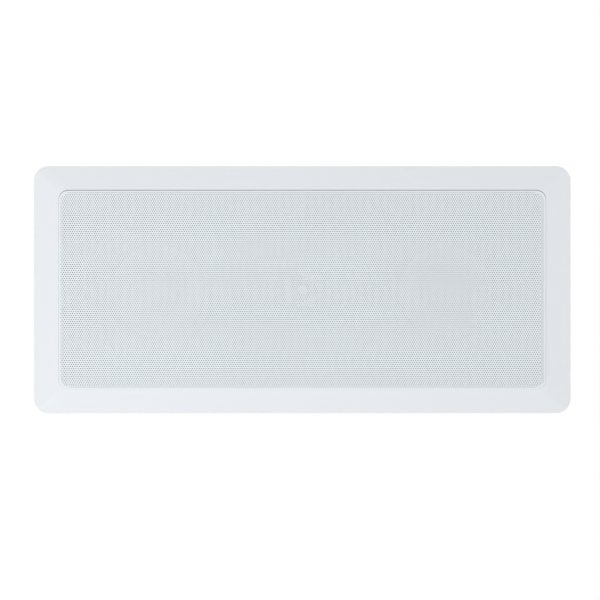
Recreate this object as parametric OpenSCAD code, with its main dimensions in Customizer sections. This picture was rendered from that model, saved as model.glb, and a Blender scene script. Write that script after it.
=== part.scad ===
// In-wall speaker: two woofers and a dome tweeter on one moulded frame, behind a perforated grille.
// X runs along the width, +Z is up, and +Y goes into the wall. The face of the wall is y = 0.

/* [Frame] */
// Width over the outer edges
frame_w = 500; // [490:1:540]
// Height over the outer edges
frame_h = 230; // [222:1:260]
// Outer corner radius
frame_corner_r = 13.5; // [8:0.5:20]
// Thickness at the outer edge
frame_edge_t = 3; // [2.6:0.1:4]
// Thickness beside the grille, where the bevel ends
frame_inner_t = 7.5; // [7:0.1:9]
// Wall left under the hollow back of the bevel
frame_wall = 2.2; // [1.8:0.1:2.5]
// Flat land round the outer edge that seats on the wall
frame_land = 3; // [2:0.5:5]
// Distance between the ribs behind the bevel
frame_rib_pitch = 50; // [40:1:80]
// Thickness of every rib
rib_t = 1.8; // [1.4:0.1:2.4]
// Height of the ribs behind the baffle
rib_h = 7; // [4:0.5:9]
// Wall of the skirt that passes through the wallboard
skirt_wall = 2.8; // [2:0.1:3]
// Depth of the skirt behind the face of the wall
skirt_depth = 26; // [22:1:30]
// Depth of the baffle's front behind the face of the wall
baffle_y = 8; // [7:0.5:10]
// Thickness of the baffle
baffle_t = 3; // [2.5:0.1:4]

/* [Grille] */
// Width of the frame's border at each end, up to the grille
border_w = 23.5; // [20:0.5:25]
// Height of the frame's border above and below the grille
border_h = 22.5; // [20:0.5:23.5]
// Corner radius of the tray
grille_corner_r = 8.5; // [6:0.5:12]
// Sheet thickness
grille_t = 1; // [0.8:0.1:1.2]
// Outer radius of the bend round the edge
grille_bend_r = 1.6; // [1.3:0.1:2]
// Depth of the turned rim
grille_rim_d = 4.5; // [3.5:0.1:5]
// How far the face stands out of the frame
grille_proud = 0.8; // [0:0.1:1.5]
// Clearance round the rim in its groove
grille_gap = 0.3; // [0.2:0.05:0.5]
// Diameter of a hole; one stands for a group of seven by seven real ones
perf_d = 7.8; // [4:0.1:9]
// Distance between the holes of a row
perf_pitch = 14.84; // [13.5:0.02:18]
// Distance between the rows
perf_row = 13.37; // [12.5:0.01:16]
// Plain border between the bend and the first holes
perf_margin = 4; // [3:0.5:10]

/* [Woofers] */
// How far each woofer lies outwards of the middle between the tweeter and the skirt's end
woofer_shift = 3.25; // [1:0.25:5]
// Diameter over the basket's flange
woofer_od = 132.5; // [131:0.5:135]
// Thickness of the basket's flange
woofer_flange_t = 3; // [2.5:0.1:3.5]
// Width of the flange outside the opening in the baffle
woofer_flange_w = 7.25; // [6.5:0.05:8]
// Width of the raised ring round the flange
raised_ring_w = 15; // [10:0.5:16]
// Visible diameter of the cone
cone_d = 84; // [80:0.5:86]
// Diameter of the dust cap
dust_cap_d = 48.5; // [40:0.5:52]
// Height of the dust cap's dome
dust_cap_h = 7; // [4:0.5:8]
// Outer diameter of the voice coil's former
former_d = 25.4; // [24:0.1:27]
// Travel of the cone each way
cone_travel = 4; // [2:0.5:5]
// Depth of the spider's seat behind the flange's front
spider_depth = 24; // [22:0.5:26]
// Depth of the top plate behind the flange's front
motor_depth = 35.5; // [34:0.5:38]
// Outer diameter of the magnet
magnet_d = 90; // [80:1:96]
// Thickness of the magnet
magnet_t = 15; // [12:0.5:18]
// Outer diameter of the top plate
top_plate_d = 82; // [74:1:84]
// Thickness of the top plate
top_plate_t = 5.5; // [4:0.5:6]
// Thickness of the back plate
back_plate_t = 5.5; // [4:0.5:6]
// Screws that hold each woofer
woofer_screws_n = 6; // [4:1:8]

/* [Tweeter] */
// Diameter of the faceplate
tweeter_od = 69; // [66:0.5:74]
// Thickness of the faceplate
tweeter_face_t = 5; // [4.5:0.1:6]
// Diameter of the opening round the dome
tweeter_mouth_d = 32.2; // [30:0.1:33]
// Diameter of the dome
dome_d = 25; // [22:0.5:26]
// Height of the dome
dome_h = 3.2; // [2:0.1:3.4]
// Hole in the middle of the triangular guard
guard_hole_d = 9; // [6:0.5:12]
// Depth of the cup that holds the magnet
cup_depth = 12.5; // [11:0.5:16]

/* [Clamps] */
// Distance of the outer clamps from the skirt's ends
clamp_end = 30; // [29.5:0.5:34]
// Distance of the clamp screws inside the skirt's outer face
clamp_inset = 14; // [13:0.5:15]
// Reach of an arm from its screw
clamp_reach = 26; // [25:0.5:27]
// Width of an arm
clamp_arm_w = 10; // [9:0.5:10]
// Thickness of an arm
clamp_arm_t = 6; // [5:0.5:7]
// Length of the hub on its screw
clamp_hub_l = 16; // [14:1:18]
// Depth of the clamping face when wide open
clamp_open_y = 34; // [33:0.5:36]
// Diameter of the clamp screw
clamp_screw_d = 4; // [3.5:0.1:4.5]

/* [Crossover and terminal] */
// Width of the circuit board
board_w = 112; // [110:1:116]
// Height of the circuit board
board_h = 84; // [82:1:90]
// Thickness of the circuit board
board_t = 1.6; // [1.2:0.1:2.4]
// Depth of the board's front behind the face of the wall
board_y = 36; // [34:0.5:38]
// Distance of the posts from the middle, along the width
post_x = 48; // [46:0.5:50]
// Distance of the posts from the middle, upwards
post_z = 34; // [33:0.5:36]
// Diameter of a wire port in the terminal
port_d = 3.2; // [2.6:0.1:3.6]
// Travel of a release tab
tab_travel = 3; // [2:0.1:3]
// Diameter of an inner lead
lead_d = 2; // [1.6:0.1:2.2]

/* [Hidden] */
$fn = 96;

// Colours
white_abs = [0.93, 0.94, 0.95];
grille_paint = [0.88, 0.89, 0.90];
black_plastic = [0.10, 0.10, 0.11];
cone_silver = [0.74, 0.75, 0.76];
rubber_black = [0.07, 0.07, 0.07];
steel = [0.70, 0.71, 0.73];
ferrite = [0.20, 0.20, 0.21];
copper = [0.72, 0.42, 0.20];
spider_yellow = [0.80, 0.66, 0.36];

// Small clearances
slip = 0.05;
seat_gap = 0.4;
eps = 0.01;
cut = 1;

// Grille and the groove that holds it
grille_w = frame_w - 2 * border_w;
grille_h = frame_h - 2 * border_h;
grille_front_y = -(frame_inner_t + grille_proud);
rim_back_y = grille_front_y + grille_rim_d;
groove_lip_y = grille_front_y + grille_t + 1.3;
opening_w = grille_w + 2 * grille_gap;
opening_h = grille_h + 2 * grille_gap;
opening_r = grille_corner_r + grille_gap;
groove_w = grille_t + 2 * grille_gap;
groove_wall = 2;
tray_step = groove_w + groove_wall;
skirt_out = 1.2;
lip_wall = 1.3;
skirt_w = opening_w + 2 * skirt_out;
skirt_h = opening_h + 2 * skirt_out;
skirt_r = opening_r + skirt_out;
baffle_back_y = baffle_y + baffle_t;

// Woofer
woofer_x = (skirt_w / 2 + tweeter_od / 2) / 2 + woofer_shift;
woofer_opening_d = woofer_od - 2 * woofer_flange_w;
basket_front_y = baffle_y - woofer_flange_t;
basket_wall = 2.2;
basket_body_r = woofer_opening_d / 2 - 0.5;
basket_mouth_r = basket_body_r - basket_wall;
spider_y = basket_front_y + spider_depth;
motor_y = basket_front_y + motor_depth;
ledge_r = [36, 42.3];
floor_r = [19, 32.3];
floor_t = 2.5;
basket_windows = 6;
basket_window_angle = 38;
surround_t = 0.6;
surround_lip = 2.5;
roll_in_r = cone_d / 2 + surround_lip;
roll_out_r = basket_mouth_r - 1.3;
roll_mid_r = (roll_in_r + roll_out_r) / 2;
roll_r = (roll_out_r - roll_in_r) / 2;
cone_t = 0.8;
cone_rim_t = 0.6;
cone_depth = 19;
cone_curve = 1.18;
former_r = former_d / 2;
former_t = 0.4;
winding_t = 0.7;
coil_air = 0.6;
pole_r = former_r - former_t - 0.4;
plate_bore_r = former_r + winding_t + coil_air;
pole_vent_r = 4;
magnet_bore_r = 22;
chamfer = 1.5;
motor_back_y = motor_y + top_plate_t + magnet_t + back_plate_t;
spider_t = 0.5;
spider_wave = 1.2;
spider_waves = 5;
woofer_screw_circle_r = (woofer_od / 2 + basket_body_r) / 2;
woofer_screw_r = 1.5;
woofer_screw_l = 11;
woofer_screw_start = 180 / woofer_screws_n;
screw_boss_r = 3.6;
screw_boss_h = 6;

// Tweeter
tweeter_front_y = baffle_y - tweeter_face_t;
mouth_r = tweeter_mouth_d / 2;
dome_r = dome_d / 2;
guard_t = 0.9;
film_t = 0.3;
ring_t = 0.6;
cup_r = 17;
cup_wall = 3.5;
cup_floor = 3;
collar_r = 20;
collar_d = 7;
tweeter_opening_r = collar_r + 0.5;
tweeter_coil_r = dome_r;
tweeter_pole_r = tweeter_coil_r - 0.7;
tweeter_cup_front_y = baffle_y + ring_t;
tweeter_back_y = tweeter_cup_front_y + cup_depth;
tweeter_screw_circle_r = 28.5;
tweeter_screw_r = 1.3;
tweeter_screw_l = 9;

// Clamps: each screw turns its arm a quarter turn, then draws it towards the frame
clamp_x = skirt_w / 2 - clamp_end;
clamp_z = skirt_h / 2 - clamp_inset;
clamp_hub_r = clamp_arm_w / 2;
clamp_screw_r = clamp_screw_d / 2;
clamp_boss_r = 5.5;
clamp_boss_h = 4;
clamp_head_r = 4;
clamp_head_h = 2.4;
clamp_tail = 4;
guide_gap = 0.3;
guide_end_y = clamp_open_y + clamp_arm_t + 4;
clamp_rest_end_y = clamp_open_y + clamp_hub_l;
// Each row: place along the width, and 1 for the top or -1 for the bottom
TOP_LEFT = [-clamp_x, 1];
TOP_MIDDLE = [0, 1];
TOP_RIGHT = [clamp_x, 1];
BOTTOM_LEFT = [-clamp_x, -1];
BOTTOM_MIDDLE = [0, -1];
BOTTOM_RIGHT = [clamp_x, -1];
CLAMPS = [TOP_LEFT, TOP_MIDDLE, TOP_RIGHT, BOTTOM_LEFT, BOTTOM_MIDDLE, BOTTOM_RIGHT];

// Terminal strips of the woofers and the tweeter
strip_x = 39;
strip_l = 16;
strip_w = 14;
strip_t = 1.5;
lug_l = 10;
lug_w = 2.8;
lug_t = 0.8;
lug_z = 4;
lug_y = spider_y + floor_t + strip_t;
lug_end = strip_x + strip_l + 2;
tweeter_strip_w = 18;
tweeter_strip_h = 8;
tweeter_lug_x = 5;
tweeter_lug_l = 4;

// Crossover and terminal
post_r = 4.5;
board_back_y = board_y + board_t;
board_screw_r = 1.5;
board_screw_l = 12;
housing_w = 46;
housing_h = 22;
housing_d = 18;
housing_z = -29;
housing_back_y = board_back_y + housing_d;
port_x = 11;
port_z = housing_z - 6;
port_l = 10;
tab_z = housing_z + 4;
tab_w = 11.4;
tab_h = 7.4;
tab_gap = 0.3;
tab_proud = 4;
slot_floor_y = board_back_y + 4.4;
tab_front_y = slot_floor_y + tab_travel + 0.4;
woofer_inductor_at = [-board_w / 4, board_h / 4];
woofer_inductor_r = 17;
woofer_inductor_bore_r = 8;
woofer_inductor_l = 14;
tweeter_inductor_at = [board_w / 4, board_h / 3.5];
tweeter_inductor_r = 13;
tweeter_inductor_bore_r = 6;
tweeter_inductor_l = 12;
woofer_capacitor_at = [-board_w / 3, -board_h / 6];
woofer_capacitor_r = 7;
woofer_capacitor_l = 26;
tweeter_capacitor_at = [board_w / 3, -board_h / 8];
tweeter_capacitor_r = 5.5;
tweeter_capacitor_l = 22;
resistor_x = -8;
resistor_z = -9;
resistor_l = 22;
resistor_w = 8;

// Leads inside, from the board to the drivers
lead_sides = 8;
lead_steps = 4;
pad_x = board_w / 2 - 5;
pad_z = 6;
woofer_lug_x = woofer_x - lug_end;
tweeter_pad_x = 16;

// A flat shape drawn as (x, z), as thick as the stretch from y0 back to y1
module slab(y0, y1) {
    translate([0, y1, 0]) rotate([90, 0, 0]) linear_extrude(y1 - y0) children();
}

// A shape drawn as (radius, y), turned about the depth axis
module turned() {
    rotate([-90, 0, 0]) rotate_extrude() children();
}

module ring(outer_r, inner_r) {
    difference() {
        circle(outer_r);
        circle(inner_r);
    }
}

module rounded(w, h, r) {
    square([w - 2 * r, h], center = true);
    square([w, h - 2 * r], center = true);
    for (sx = [-1, 1], sz = [-1, 1])
        translate([sx * (w / 2 - r), sz * (h / 2 - r)]) circle(r);
}

module rounded_ring(w, h, r, wall) {
    difference() {
        rounded(w, h, r);
        rounded(w - 2 * wall, h - 2 * wall, r - wall);
    }
}

// n copies round a circle, the first at the angle start
module around(n, circle_r, start = 0) {
    for (i = [0:n - 1]) {
        a = start + i * 360 / n;
        translate([circle_r * cos(a), 0, circle_r * sin(a)]) children();
    }
}

// Part of a ring between two angles, narrower than a half turn
module sector(outer_r, inner_r, middle, width) {
    reach = 2 * outer_r;
    intersection() {
        ring(outer_r, inner_r);
        polygon([
            [0, 0],
            [reach * cos(middle - width / 2), reach * sin(middle - width / 2)],
            [reach * cos(middle), reach * sin(middle)],
            [reach * cos(middle + width / 2), reach * sin(middle + width / 2)]
        ]);
    }
}

// Pan-head screw with a cross recess, its head's seat at y = 0 and its shank going back
module pan_screw(shank_r, shank_l, head_r, head_h) {
    recess_w = 0.35 * head_r;
    difference() {
        turned() polygon([
            [0, -head_h], [0.62 * head_r, -head_h], [0.9 * head_r, -0.7 * head_h],
            [head_r, -0.35 * head_h], [head_r, 0], [shank_r, 0],
            [shank_r, shank_l - shank_r], [0.35 * shank_r, shank_l], [0, shank_l]
        ]);
        for (turn = [0, 90])
            rotate([0, turn, 0]) translate([-0.6 * head_r, -head_h - cut, -recess_w / 2])
                cube([1.2 * head_r, 0.55 * head_h + cut, recess_w]);
    }
}

// The block with four sloping faces that the bevelled border is cut from
module bevel_block() {
    rise = frame_inner_t - frame_edge_t;
    side_slope = atan(rise / ((frame_w - opening_w) / 2));
    top_slope = atan(rise / ((frame_h - opening_h) / 2));
    reach = frame_w;
    difference() {
        slab(-frame_inner_t, 0) rounded(frame_w, frame_h, frame_corner_r);
        for (side = [0, 1]) mirror([side, 0, 0])
            translate([frame_w / 2, -frame_edge_t, 0]) rotate([0, 0, side_slope])
                translate([-reach / 2, -reach / 10, -reach]) cube([reach, reach / 10, 2 * reach]);
        for (side = [0, 1]) mirror([0, 0, side])
            translate([0, -frame_edge_t, frame_h / 2]) rotate([-top_slope, 0, 0])
                translate([-reach, -reach / 10, -reach / 4]) cube([2 * reach, reach / 10, reach / 2]);
    }
}

module hollow_outline() {
    inner_w = skirt_w + 2 * lip_wall;
    inner_h = skirt_h + 2 * lip_wall;
    columns = floor(frame_w / 2 / frame_rib_pitch);
    rows = floor(frame_h / 2 / frame_rib_pitch);
    difference() {
        rounded(frame_w - 2 * frame_land, frame_h - 2 * frame_land, frame_corner_r - frame_land);
        rounded(inner_w, inner_h, skirt_r + lip_wall);
        for (i = [-columns:columns])
            translate([i * frame_rib_pitch, 0]) square([rib_t, 2 * frame_h], center = true);
        for (i = [-rows:rows])
            translate([0, i * frame_rib_pitch]) square([2 * frame_w, rib_t], center = true);
    }
}

module bevelled_border() {
    difference() {
        bevel_block();
        intersection() {
            translate([0, frame_wall, 0]) bevel_block();
            slab(-frame_inner_t, cut) hollow_outline();
        }
    }
}

// Border, skirt and baffle, with the groove that the grille drops into
module frame_shell() {
    difference() {
        union() {
            bevelled_border();
            slab(-eps, baffle_back_y) rounded(skirt_w, skirt_h, skirt_r);
            slab(baffle_y, skirt_depth) rounded_ring(skirt_w, skirt_h, skirt_r, skirt_wall);
        }
        slab(-frame_inner_t - cut, groove_lip_y) rounded(opening_w, opening_h, opening_r);
        slab(-frame_inner_t - cut, rim_back_y) rounded_ring(opening_w, opening_h, opening_r, groove_w);
        slab(-frame_inner_t - cut, baffle_y)
            rounded(opening_w - 2 * tray_step, opening_h - 2 * tray_step, opening_r - tray_step);
    }
}

// Walls that stop an arm at the end of its quarter turn and carry it while it is stowed
module clamp_guide() {
    stop_x = clamp_hub_r + guide_gap;
    slab(baffle_back_y, guide_end_y) {
        translate([stop_x, -stop_x - rib_t]) square([rib_t, stop_x + rib_t + clamp_inset - skirt_wall + eps]);
        translate([-clamp_reach, -stop_x - rib_t]) square([clamp_reach + stop_x + rib_t, rib_t]);
    }
}

// Moves a part to a clamp's place; the bottom ones are the top ones turned half round
module at_clamp(place) {
    rotate([0, place[1] > 0 ? 0 : 180, 0]) translate([place[0] * place[1], 0, clamp_z]) children();
}

module baffle_ribs() {
    rib_z = clamp_z - clamp_hub_r - guide_gap - rib_t / 2;
    ring_wall = 2.5;
    slab(baffle_back_y, baffle_back_y + rib_h) {
        for (side = [-1, 1]) {
            translate([side * woofer_x, 0]) ring(woofer_opening_d / 2 + ring_wall, woofer_opening_d / 2);
            translate([0, side * rib_z]) square([skirt_w - 2 * skirt_wall + eps, rib_t], center = true);
            for (x = [woofer_x - woofer_od / 2, woofer_x + woofer_od / 2])
                for (half = [-1, 1])
                    translate([side * x, half * (rib_z + woofer_od / 3) / 2])
                        square([rib_t, rib_z - woofer_od / 3], center = true);
        }
        ring(tweeter_opening_r + ring_wall, tweeter_opening_r);
    }
}

module frame() {
    color(white_abs)
    difference() {
        union() {
            frame_shell();
            baffle_ribs();
            for (side = [-1, 1]) translate([side * woofer_x, 0, 0]) {
                slab(basket_front_y, baffle_y + eps)
                    ring(woofer_od / 2 + seat_gap + raised_ring_w, woofer_od / 2 + seat_gap);
                around(woofer_screws_n, woofer_screw_circle_r, woofer_screw_start)
                    slab(baffle_back_y - eps, baffle_back_y + screw_boss_h) circle(screw_boss_r);
            }
            around(3, tweeter_screw_circle_r, 90)
                slab(baffle_back_y - eps, baffle_back_y + screw_boss_h) circle(screw_boss_r);
            for (place = CLAMPS) at_clamp(place) {
                clamp_guide();
                slab(baffle_y - clamp_boss_h, baffle_y + eps) circle(clamp_boss_r);
            }
            for (sx = [-1, 1], sz = [-1, 1]) translate([sx * post_x, 0, sz * post_z])
                slab(baffle_back_y - eps, board_y) circle(post_r);
        }
        for (side = [-1, 1]) translate([side * woofer_x, 0, 0]) {
            slab(baffle_y - cut, baffle_back_y + rib_h + cut) circle(woofer_opening_d / 2);
            around(woofer_screws_n, woofer_screw_circle_r, woofer_screw_start)
                slab(baffle_y - cut, baffle_back_y + screw_boss_h - 0.5) circle(woofer_screw_r + slip);
        }
        slab(baffle_y - cut, baffle_back_y + rib_h + cut) circle(tweeter_opening_r);
        around(3, tweeter_screw_circle_r, 90)
            slab(baffle_y - cut, baffle_back_y + screw_boss_h - 0.5) circle(tweeter_screw_r + slip);
        for (sx = [-1, 1], sz = [-1, 1]) translate([sx * post_x, 0, sz * post_z])
            slab(board_y - board_screw_l, board_y + cut) circle(board_screw_r + slip);
        for (place = CLAMPS) at_clamp(place) {
            slab(baffle_y - clamp_boss_h - cut, baffle_back_y + cut) circle(clamp_screw_r + slip);
            translate([0, 0, clamp_inset - skirt_wall / 2])
                slab(baffle_back_y, skirt_depth + cut)
                    square([clamp_arm_w + 2 * guide_gap, skirt_wall + 1], center = true);
        }
    }
}

// Section of the grille's turned edge, drawn as (distance from the corner's centre, y)
module rim_section() {
    bend_u = grille_corner_r - grille_bend_r;
    translate([bend_u, grille_front_y + grille_bend_r]) intersection() {
        ring(grille_bend_r, grille_bend_r - grille_t);
        translate([0, -grille_bend_r]) square(grille_bend_r);
    }
    translate([grille_corner_r - grille_t, grille_front_y + grille_bend_r])
        square([grille_t, grille_rim_d - grille_bend_r]);
}

module grille_edge(length) {
    translate([0, 0, -length / 2]) linear_extrude(length) rim_section();
}

module perforations() {
    usable_w = grille_w - 2 * (grille_bend_r + perf_margin) - perf_d;
    usable_h = grille_h - 2 * (grille_bend_r + perf_margin) - perf_d;
    columns = floor(usable_w / perf_pitch - 0.5);
    rows = 2 * floor(usable_h / perf_row / 2);
    for (row = [0:rows], column = [0:columns])
        translate([
            (column - columns / 2 + (row % 2 == 0 ? -0.25 : 0.25)) * perf_pitch,
            (row - rows / 2) * perf_row
        ]) circle(perf_d / 2, $fn = 6);
}

module grille() {
    side_x = grille_w / 2 - grille_corner_r;
    side_z = grille_h / 2 - grille_corner_r;
    color(grille_paint) {
        slab(grille_front_y, grille_front_y + grille_t) difference() {
            rounded(grille_w - 2 * grille_bend_r, grille_h - 2 * grille_bend_r, grille_corner_r - grille_bend_r);
            perforations();
        }
        for (half = [0, 180]) rotate([0, half, 0]) {
            translate([side_x, 0, 0]) grille_edge(2 * side_z);
            translate([0, 0, side_z]) rotate([0, -90, 0]) grille_edge(2 * side_x);
            translate([side_x, 0, side_z]) corner_edge(0);
            translate([side_x, 0, -side_z]) corner_edge(-90);
        }
    }
}

// A quarter turn of the edge, from the given angle up
module corner_edge(start) {
    rotate([-90, 0, 0]) rotate([0, 0, -start - 90]) rotate_extrude(angle = 90) rim_section();
}

// The basket: flange, cone-shaped wall with windows, a ledge for the spider, and the motor's seat
module woofer_basket() {
    color(black_plastic)
    difference() {
        turned() polygon([
            [woofer_od / 2, basket_front_y], [woofer_od / 2, baffle_y], [basket_body_r, baffle_y],
            [basket_body_r, baffle_y + 4], [ledge_r[1] + basket_wall, spider_y + floor_t],
            [ledge_r[0] + floor_t, spider_y + floor_t], [floor_r[1] + floor_t, motor_y],
            [floor_r[0], motor_y], [floor_r[0], motor_y - floor_t], [floor_r[1], motor_y - floor_t],
            [ledge_r[0], spider_y + floor_t], [ledge_r[0], spider_y], [ledge_r[1], spider_y],
            [basket_mouth_r, baffle_y + 2.5], [basket_mouth_r, basket_front_y]
        ]);
        for (i = [0:basket_windows - 1]) {
            middle = (i + 0.5) * 360 / basket_windows;
            slab(baffle_y + 5, spider_y - 1.2) sector(basket_body_r + 2, ledge_r[0], middle, basket_window_angle);
            slab(spider_y + floor_t + 1, motor_y - floor_t - 1)
                sector(ledge_r[0] + 4, floor_r[0], middle, basket_window_angle);
        }
        around(woofer_screws_n, woofer_screw_circle_r, woofer_screw_start)
            slab(basket_front_y - cut, baffle_y + cut) circle(woofer_screw_r + 0.2);
    }
}

module woofer_surround() {
    color(rubber_black) turned() {
        translate([roll_mid_r, basket_front_y]) intersection() {
            ring(roll_r, roll_r - surround_t);
            translate([-roll_r, -roll_r]) square([2 * roll_r, roll_r]);
        }
        translate([cone_d / 2, basket_front_y - surround_t]) square([surround_lip + surround_t / 2, surround_t]);
        translate([roll_out_r - surround_t / 2, basket_front_y - surround_t])
            square([woofer_screw_circle_r - 3.3 - roll_out_r, surround_t]);
    }
}

// Depth of the cone's front face at the radius r
function cone_y(r) =
    let (share = (cone_d / 2 - r) / (cone_d / 2 - former_r))
    basket_front_y + cone_depth * (1 - pow(1 - share, cone_curve));

module woofer_cone() {
    rings = 10;
    radii = [for (i = [0:rings]) cone_d / 2 + (former_r - cone_d / 2) * i / rings];
    color(cone_silver) turned() polygon(concat(
        [[roll_in_r, basket_front_y]],
        [for (r = radii) [r, cone_y(r)]],
        [for (i = [rings:-1:1]) [radii[i], cone_y(radii[i]) + cone_t]],
        [[cone_d / 2, basket_front_y + cone_rim_t], [roll_in_r, basket_front_y + cone_rim_t]]
    ));
}

// Dome of the given rim radius and height, with its rim's front at rim_y
module dome_shell(rim_r, height, rim_y, wall) {
    sphere_r = (rim_r * rim_r + height * height) / (2 * height);
    rings = 10;
    radii = [for (i = [0:rings]) rim_r * i / rings];
    turned() polygon(concat(
        [for (r = radii) [r, rim_y - height + sphere_r - sqrt(sphere_r * sphere_r - r * r)]],
        [for (i = [rings:-1:0]) [
            radii[i],
            rim_y + wall - height + sphere_r - sqrt(sphere_r * sphere_r - radii[i] * radii[i])
        ]]
    ));
}

module woofer_dust_cap() {
    cap_wall = 0.5;
    color([0.30, 0.30, 0.31])
        dome_shell(dust_cap_d / 2, dust_cap_h, cone_y(dust_cap_d / 2) - cap_wall - slip, cap_wall);
}

module woofer_voice_coil() {
    front_y = cone_y(former_r) - 2;
    back_y = motor_y + top_plate_t + cone_travel;
    color(copper) turned() {
        translate([former_r - former_t, front_y]) square([former_t, back_y - front_y]);
        translate([former_r - eps, motor_y - cone_travel + 1])
            square([winding_t + eps, top_plate_t + 2 * cone_travel - 2]);
    }
}

module woofer_spider() {
    steps = 8 * spider_waves;
    inner_r = former_r;
    wave_r = ledge_r[0] - 0.5;
    radii = [for (i = [0:steps]) inner_r + 1.5 + (wave_r - inner_r - 1.5) * i / steps];
    front = [for (i = [0:steps]) spider_y - spider_t + spider_wave * sin(360 * spider_waves * i / steps)];
    color(spider_yellow) turned() polygon(concat(
        [[inner_r, spider_y - spider_t]],
        [for (i = [0:steps]) [radii[i], front[i]]],
        [[ledge_r[1] - slip, spider_y - spider_t], [ledge_r[1] - slip, spider_y]],
        [for (i = [steps:-1:0]) [radii[i], front[i] + spider_t]],
        [[inner_r, spider_y]]
    ));
}

module woofer_top_plate() {
    color(steel) turned() translate([plate_bore_r, motor_y])
        square([top_plate_d / 2 - plate_bore_r, top_plate_t]);
}

module woofer_magnet() {
    y0 = motor_y + top_plate_t;
    r = magnet_d / 2;
    color(ferrite) turned() polygon([
        [magnet_bore_r, y0], [r - chamfer, y0], [r, y0 + chamfer], [r, y0 + magnet_t - chamfer],
        [r - chamfer, y0 + magnet_t], [magnet_bore_r, y0 + magnet_t]
    ]);
}

module woofer_back_plate() {
    y0 = motor_y + top_plate_t + magnet_t;
    r = top_plate_d / 2;
    color(steel) turned() polygon([
        [pole_vent_r, motor_y], [pole_r, motor_y], [pole_r, y0], [r, y0],
        [r, motor_back_y - chamfer], [r - chamfer, motor_back_y],
        [pole_vent_r + 2, motor_back_y], [pole_vent_r, motor_back_y - 2]
    ]);
}

// Fibre strip with two lugs, under the ledge on the side of the crossover
module woofer_terminals() {
    color([0.45, 0.30, 0.16]) translate([strip_x, spider_y + floor_t, -strip_w / 2])
        cube([strip_l, strip_t, strip_w]);
    color(steel) for (side = [-1, 1])
        translate([lug_end - lug_l, lug_y - eps, side * lug_z - lug_w / 2]) cube([lug_l, lug_t, lug_w]);
}

// Moves a part drawn for the left woofer, with its terminals towards the middle, to its place
module at_woofer(side) {
    mirror([side > 0 ? 1 : 0, 0, 0]) translate([-woofer_x, 0, 0]) children();
}

module woofer_screws() {
    color(black_plastic) for (side = [-1, 1]) at_woofer(side)
        around(woofer_screws_n, woofer_screw_circle_r, woofer_screw_start)
            translate([0, basket_front_y, 0]) pan_screw(woofer_screw_r, woofer_screw_l, 2.9, 2);
}

// Faceplate with a shallow flare and a triangular guard across its mouth, one corner to the right
module tweeter_faceplate() {
    flare = 3;
    color(black_plastic)
    difference() {
        union() {
            turned() polygon([
                [mouth_r + flare, tweeter_front_y + 0.6], [tweeter_od / 2 - 1.5, tweeter_front_y],
                [tweeter_od / 2, tweeter_front_y + 1.5], [tweeter_od / 2, baffle_y],
                [collar_r, baffle_y], [collar_r, baffle_y + collar_d],
                [cup_r + slip, baffle_y + collar_d], [cup_r + slip, baffle_y],
                [mouth_r, baffle_y], [mouth_r, tweeter_front_y + flare]
            ]);
            slab(tweeter_front_y + 0.6, tweeter_front_y + 0.6 + guard_t) difference() {
                circle(mouth_r + flare + 1, $fn = 3);
                circle(guard_hole_d / 2);
            }
        }
        around(3, tweeter_screw_circle_r, 90) {
            slab(tweeter_front_y - cut, baffle_y + cut) circle(tweeter_screw_r + 0.2);
            slab(tweeter_front_y - cut, tweeter_front_y + 2) circle(3);
        }
    }
}

// Dome, half-round suspension and mounting ring, formed as one film
module tweeter_dome() {
    roll = (mouth_r - 0.4 - dome_r) / 2;
    color(cone_silver) {
        dome_shell(dome_r, dome_h, baffle_y, film_t);
        turned() {
            translate([dome_r + roll, baffle_y + film_t]) intersection() {
                ring(roll + film_t / 2, roll - film_t / 2);
                translate([-2 * roll, -2 * roll]) square([4 * roll, 2 * roll]);
            }
            translate([dome_r - film_t, baffle_y]) square([2 * film_t, film_t]);
            translate([mouth_r - 0.4 - film_t, baffle_y]) square([cup_r - slip - mouth_r + 0.4 + film_t, ring_t]);
        }
    }
}

module tweeter_voice_coil() {
    color(copper) turned() translate([tweeter_coil_r - 0.3, baffle_y + film_t])
        square([0.6, 6]);
}

module tweeter_pole_plate() {
    color(steel) slab(tweeter_back_y - cup_floor - 8.5, tweeter_back_y - cup_floor - 5.5) circle(tweeter_pole_r);
}

module tweeter_magnet() {
    color(steel) slab(tweeter_back_y - cup_floor - 5.5, tweeter_back_y - cup_floor) circle(tweeter_pole_r - 0.6);
}

module tweeter_cup() {
    color(ferrite) turned() polygon([
        [cup_r - cup_wall, tweeter_cup_front_y], [cup_r, tweeter_cup_front_y],
        [cup_r, tweeter_back_y - chamfer], [cup_r - chamfer, tweeter_back_y], [0, tweeter_back_y],
        [0, tweeter_back_y - cup_floor], [cup_r - cup_wall, tweeter_back_y - cup_floor]
    ]);
}

module tweeter_terminals() {
    color([0.45, 0.30, 0.16]) slab(tweeter_back_y, tweeter_back_y + strip_t) rounded(tweeter_strip_w, tweeter_strip_h, 2);
    color(steel) for (side = [-1, 1]) slab(tweeter_back_y + strip_t - eps, tweeter_back_y + strip_t + tweeter_lug_l)
        translate([side * tweeter_lug_x, 0]) square([lug_w, lug_t], center = true);
}

module tweeter_screws() {
    color(black_plastic) around(3, tweeter_screw_circle_r, 90)
        translate([0, tweeter_front_y + 2, 0]) pan_screw(tweeter_screw_r, tweeter_screw_l, 2.6, 1.8);
}

module crossover_board() {
    color([0.13, 0.30, 0.17]) slab(board_y, board_back_y) difference() {
        rounded(board_w, board_h, 3);
        for (sx = [-1, 1], sz = [-1, 1]) translate([sx * post_x, sz * post_z]) circle(board_screw_r + 0.2);
    }
}

module board_screws() {
    color(steel) for (sx = [-1, 1], sz = [-1, 1]) translate([sx * post_x, board_back_y, sz * post_z])
        mirror([0, 1, 0]) pan_screw(board_screw_r, board_screw_l - 1, 2.9, 2);
}

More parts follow.
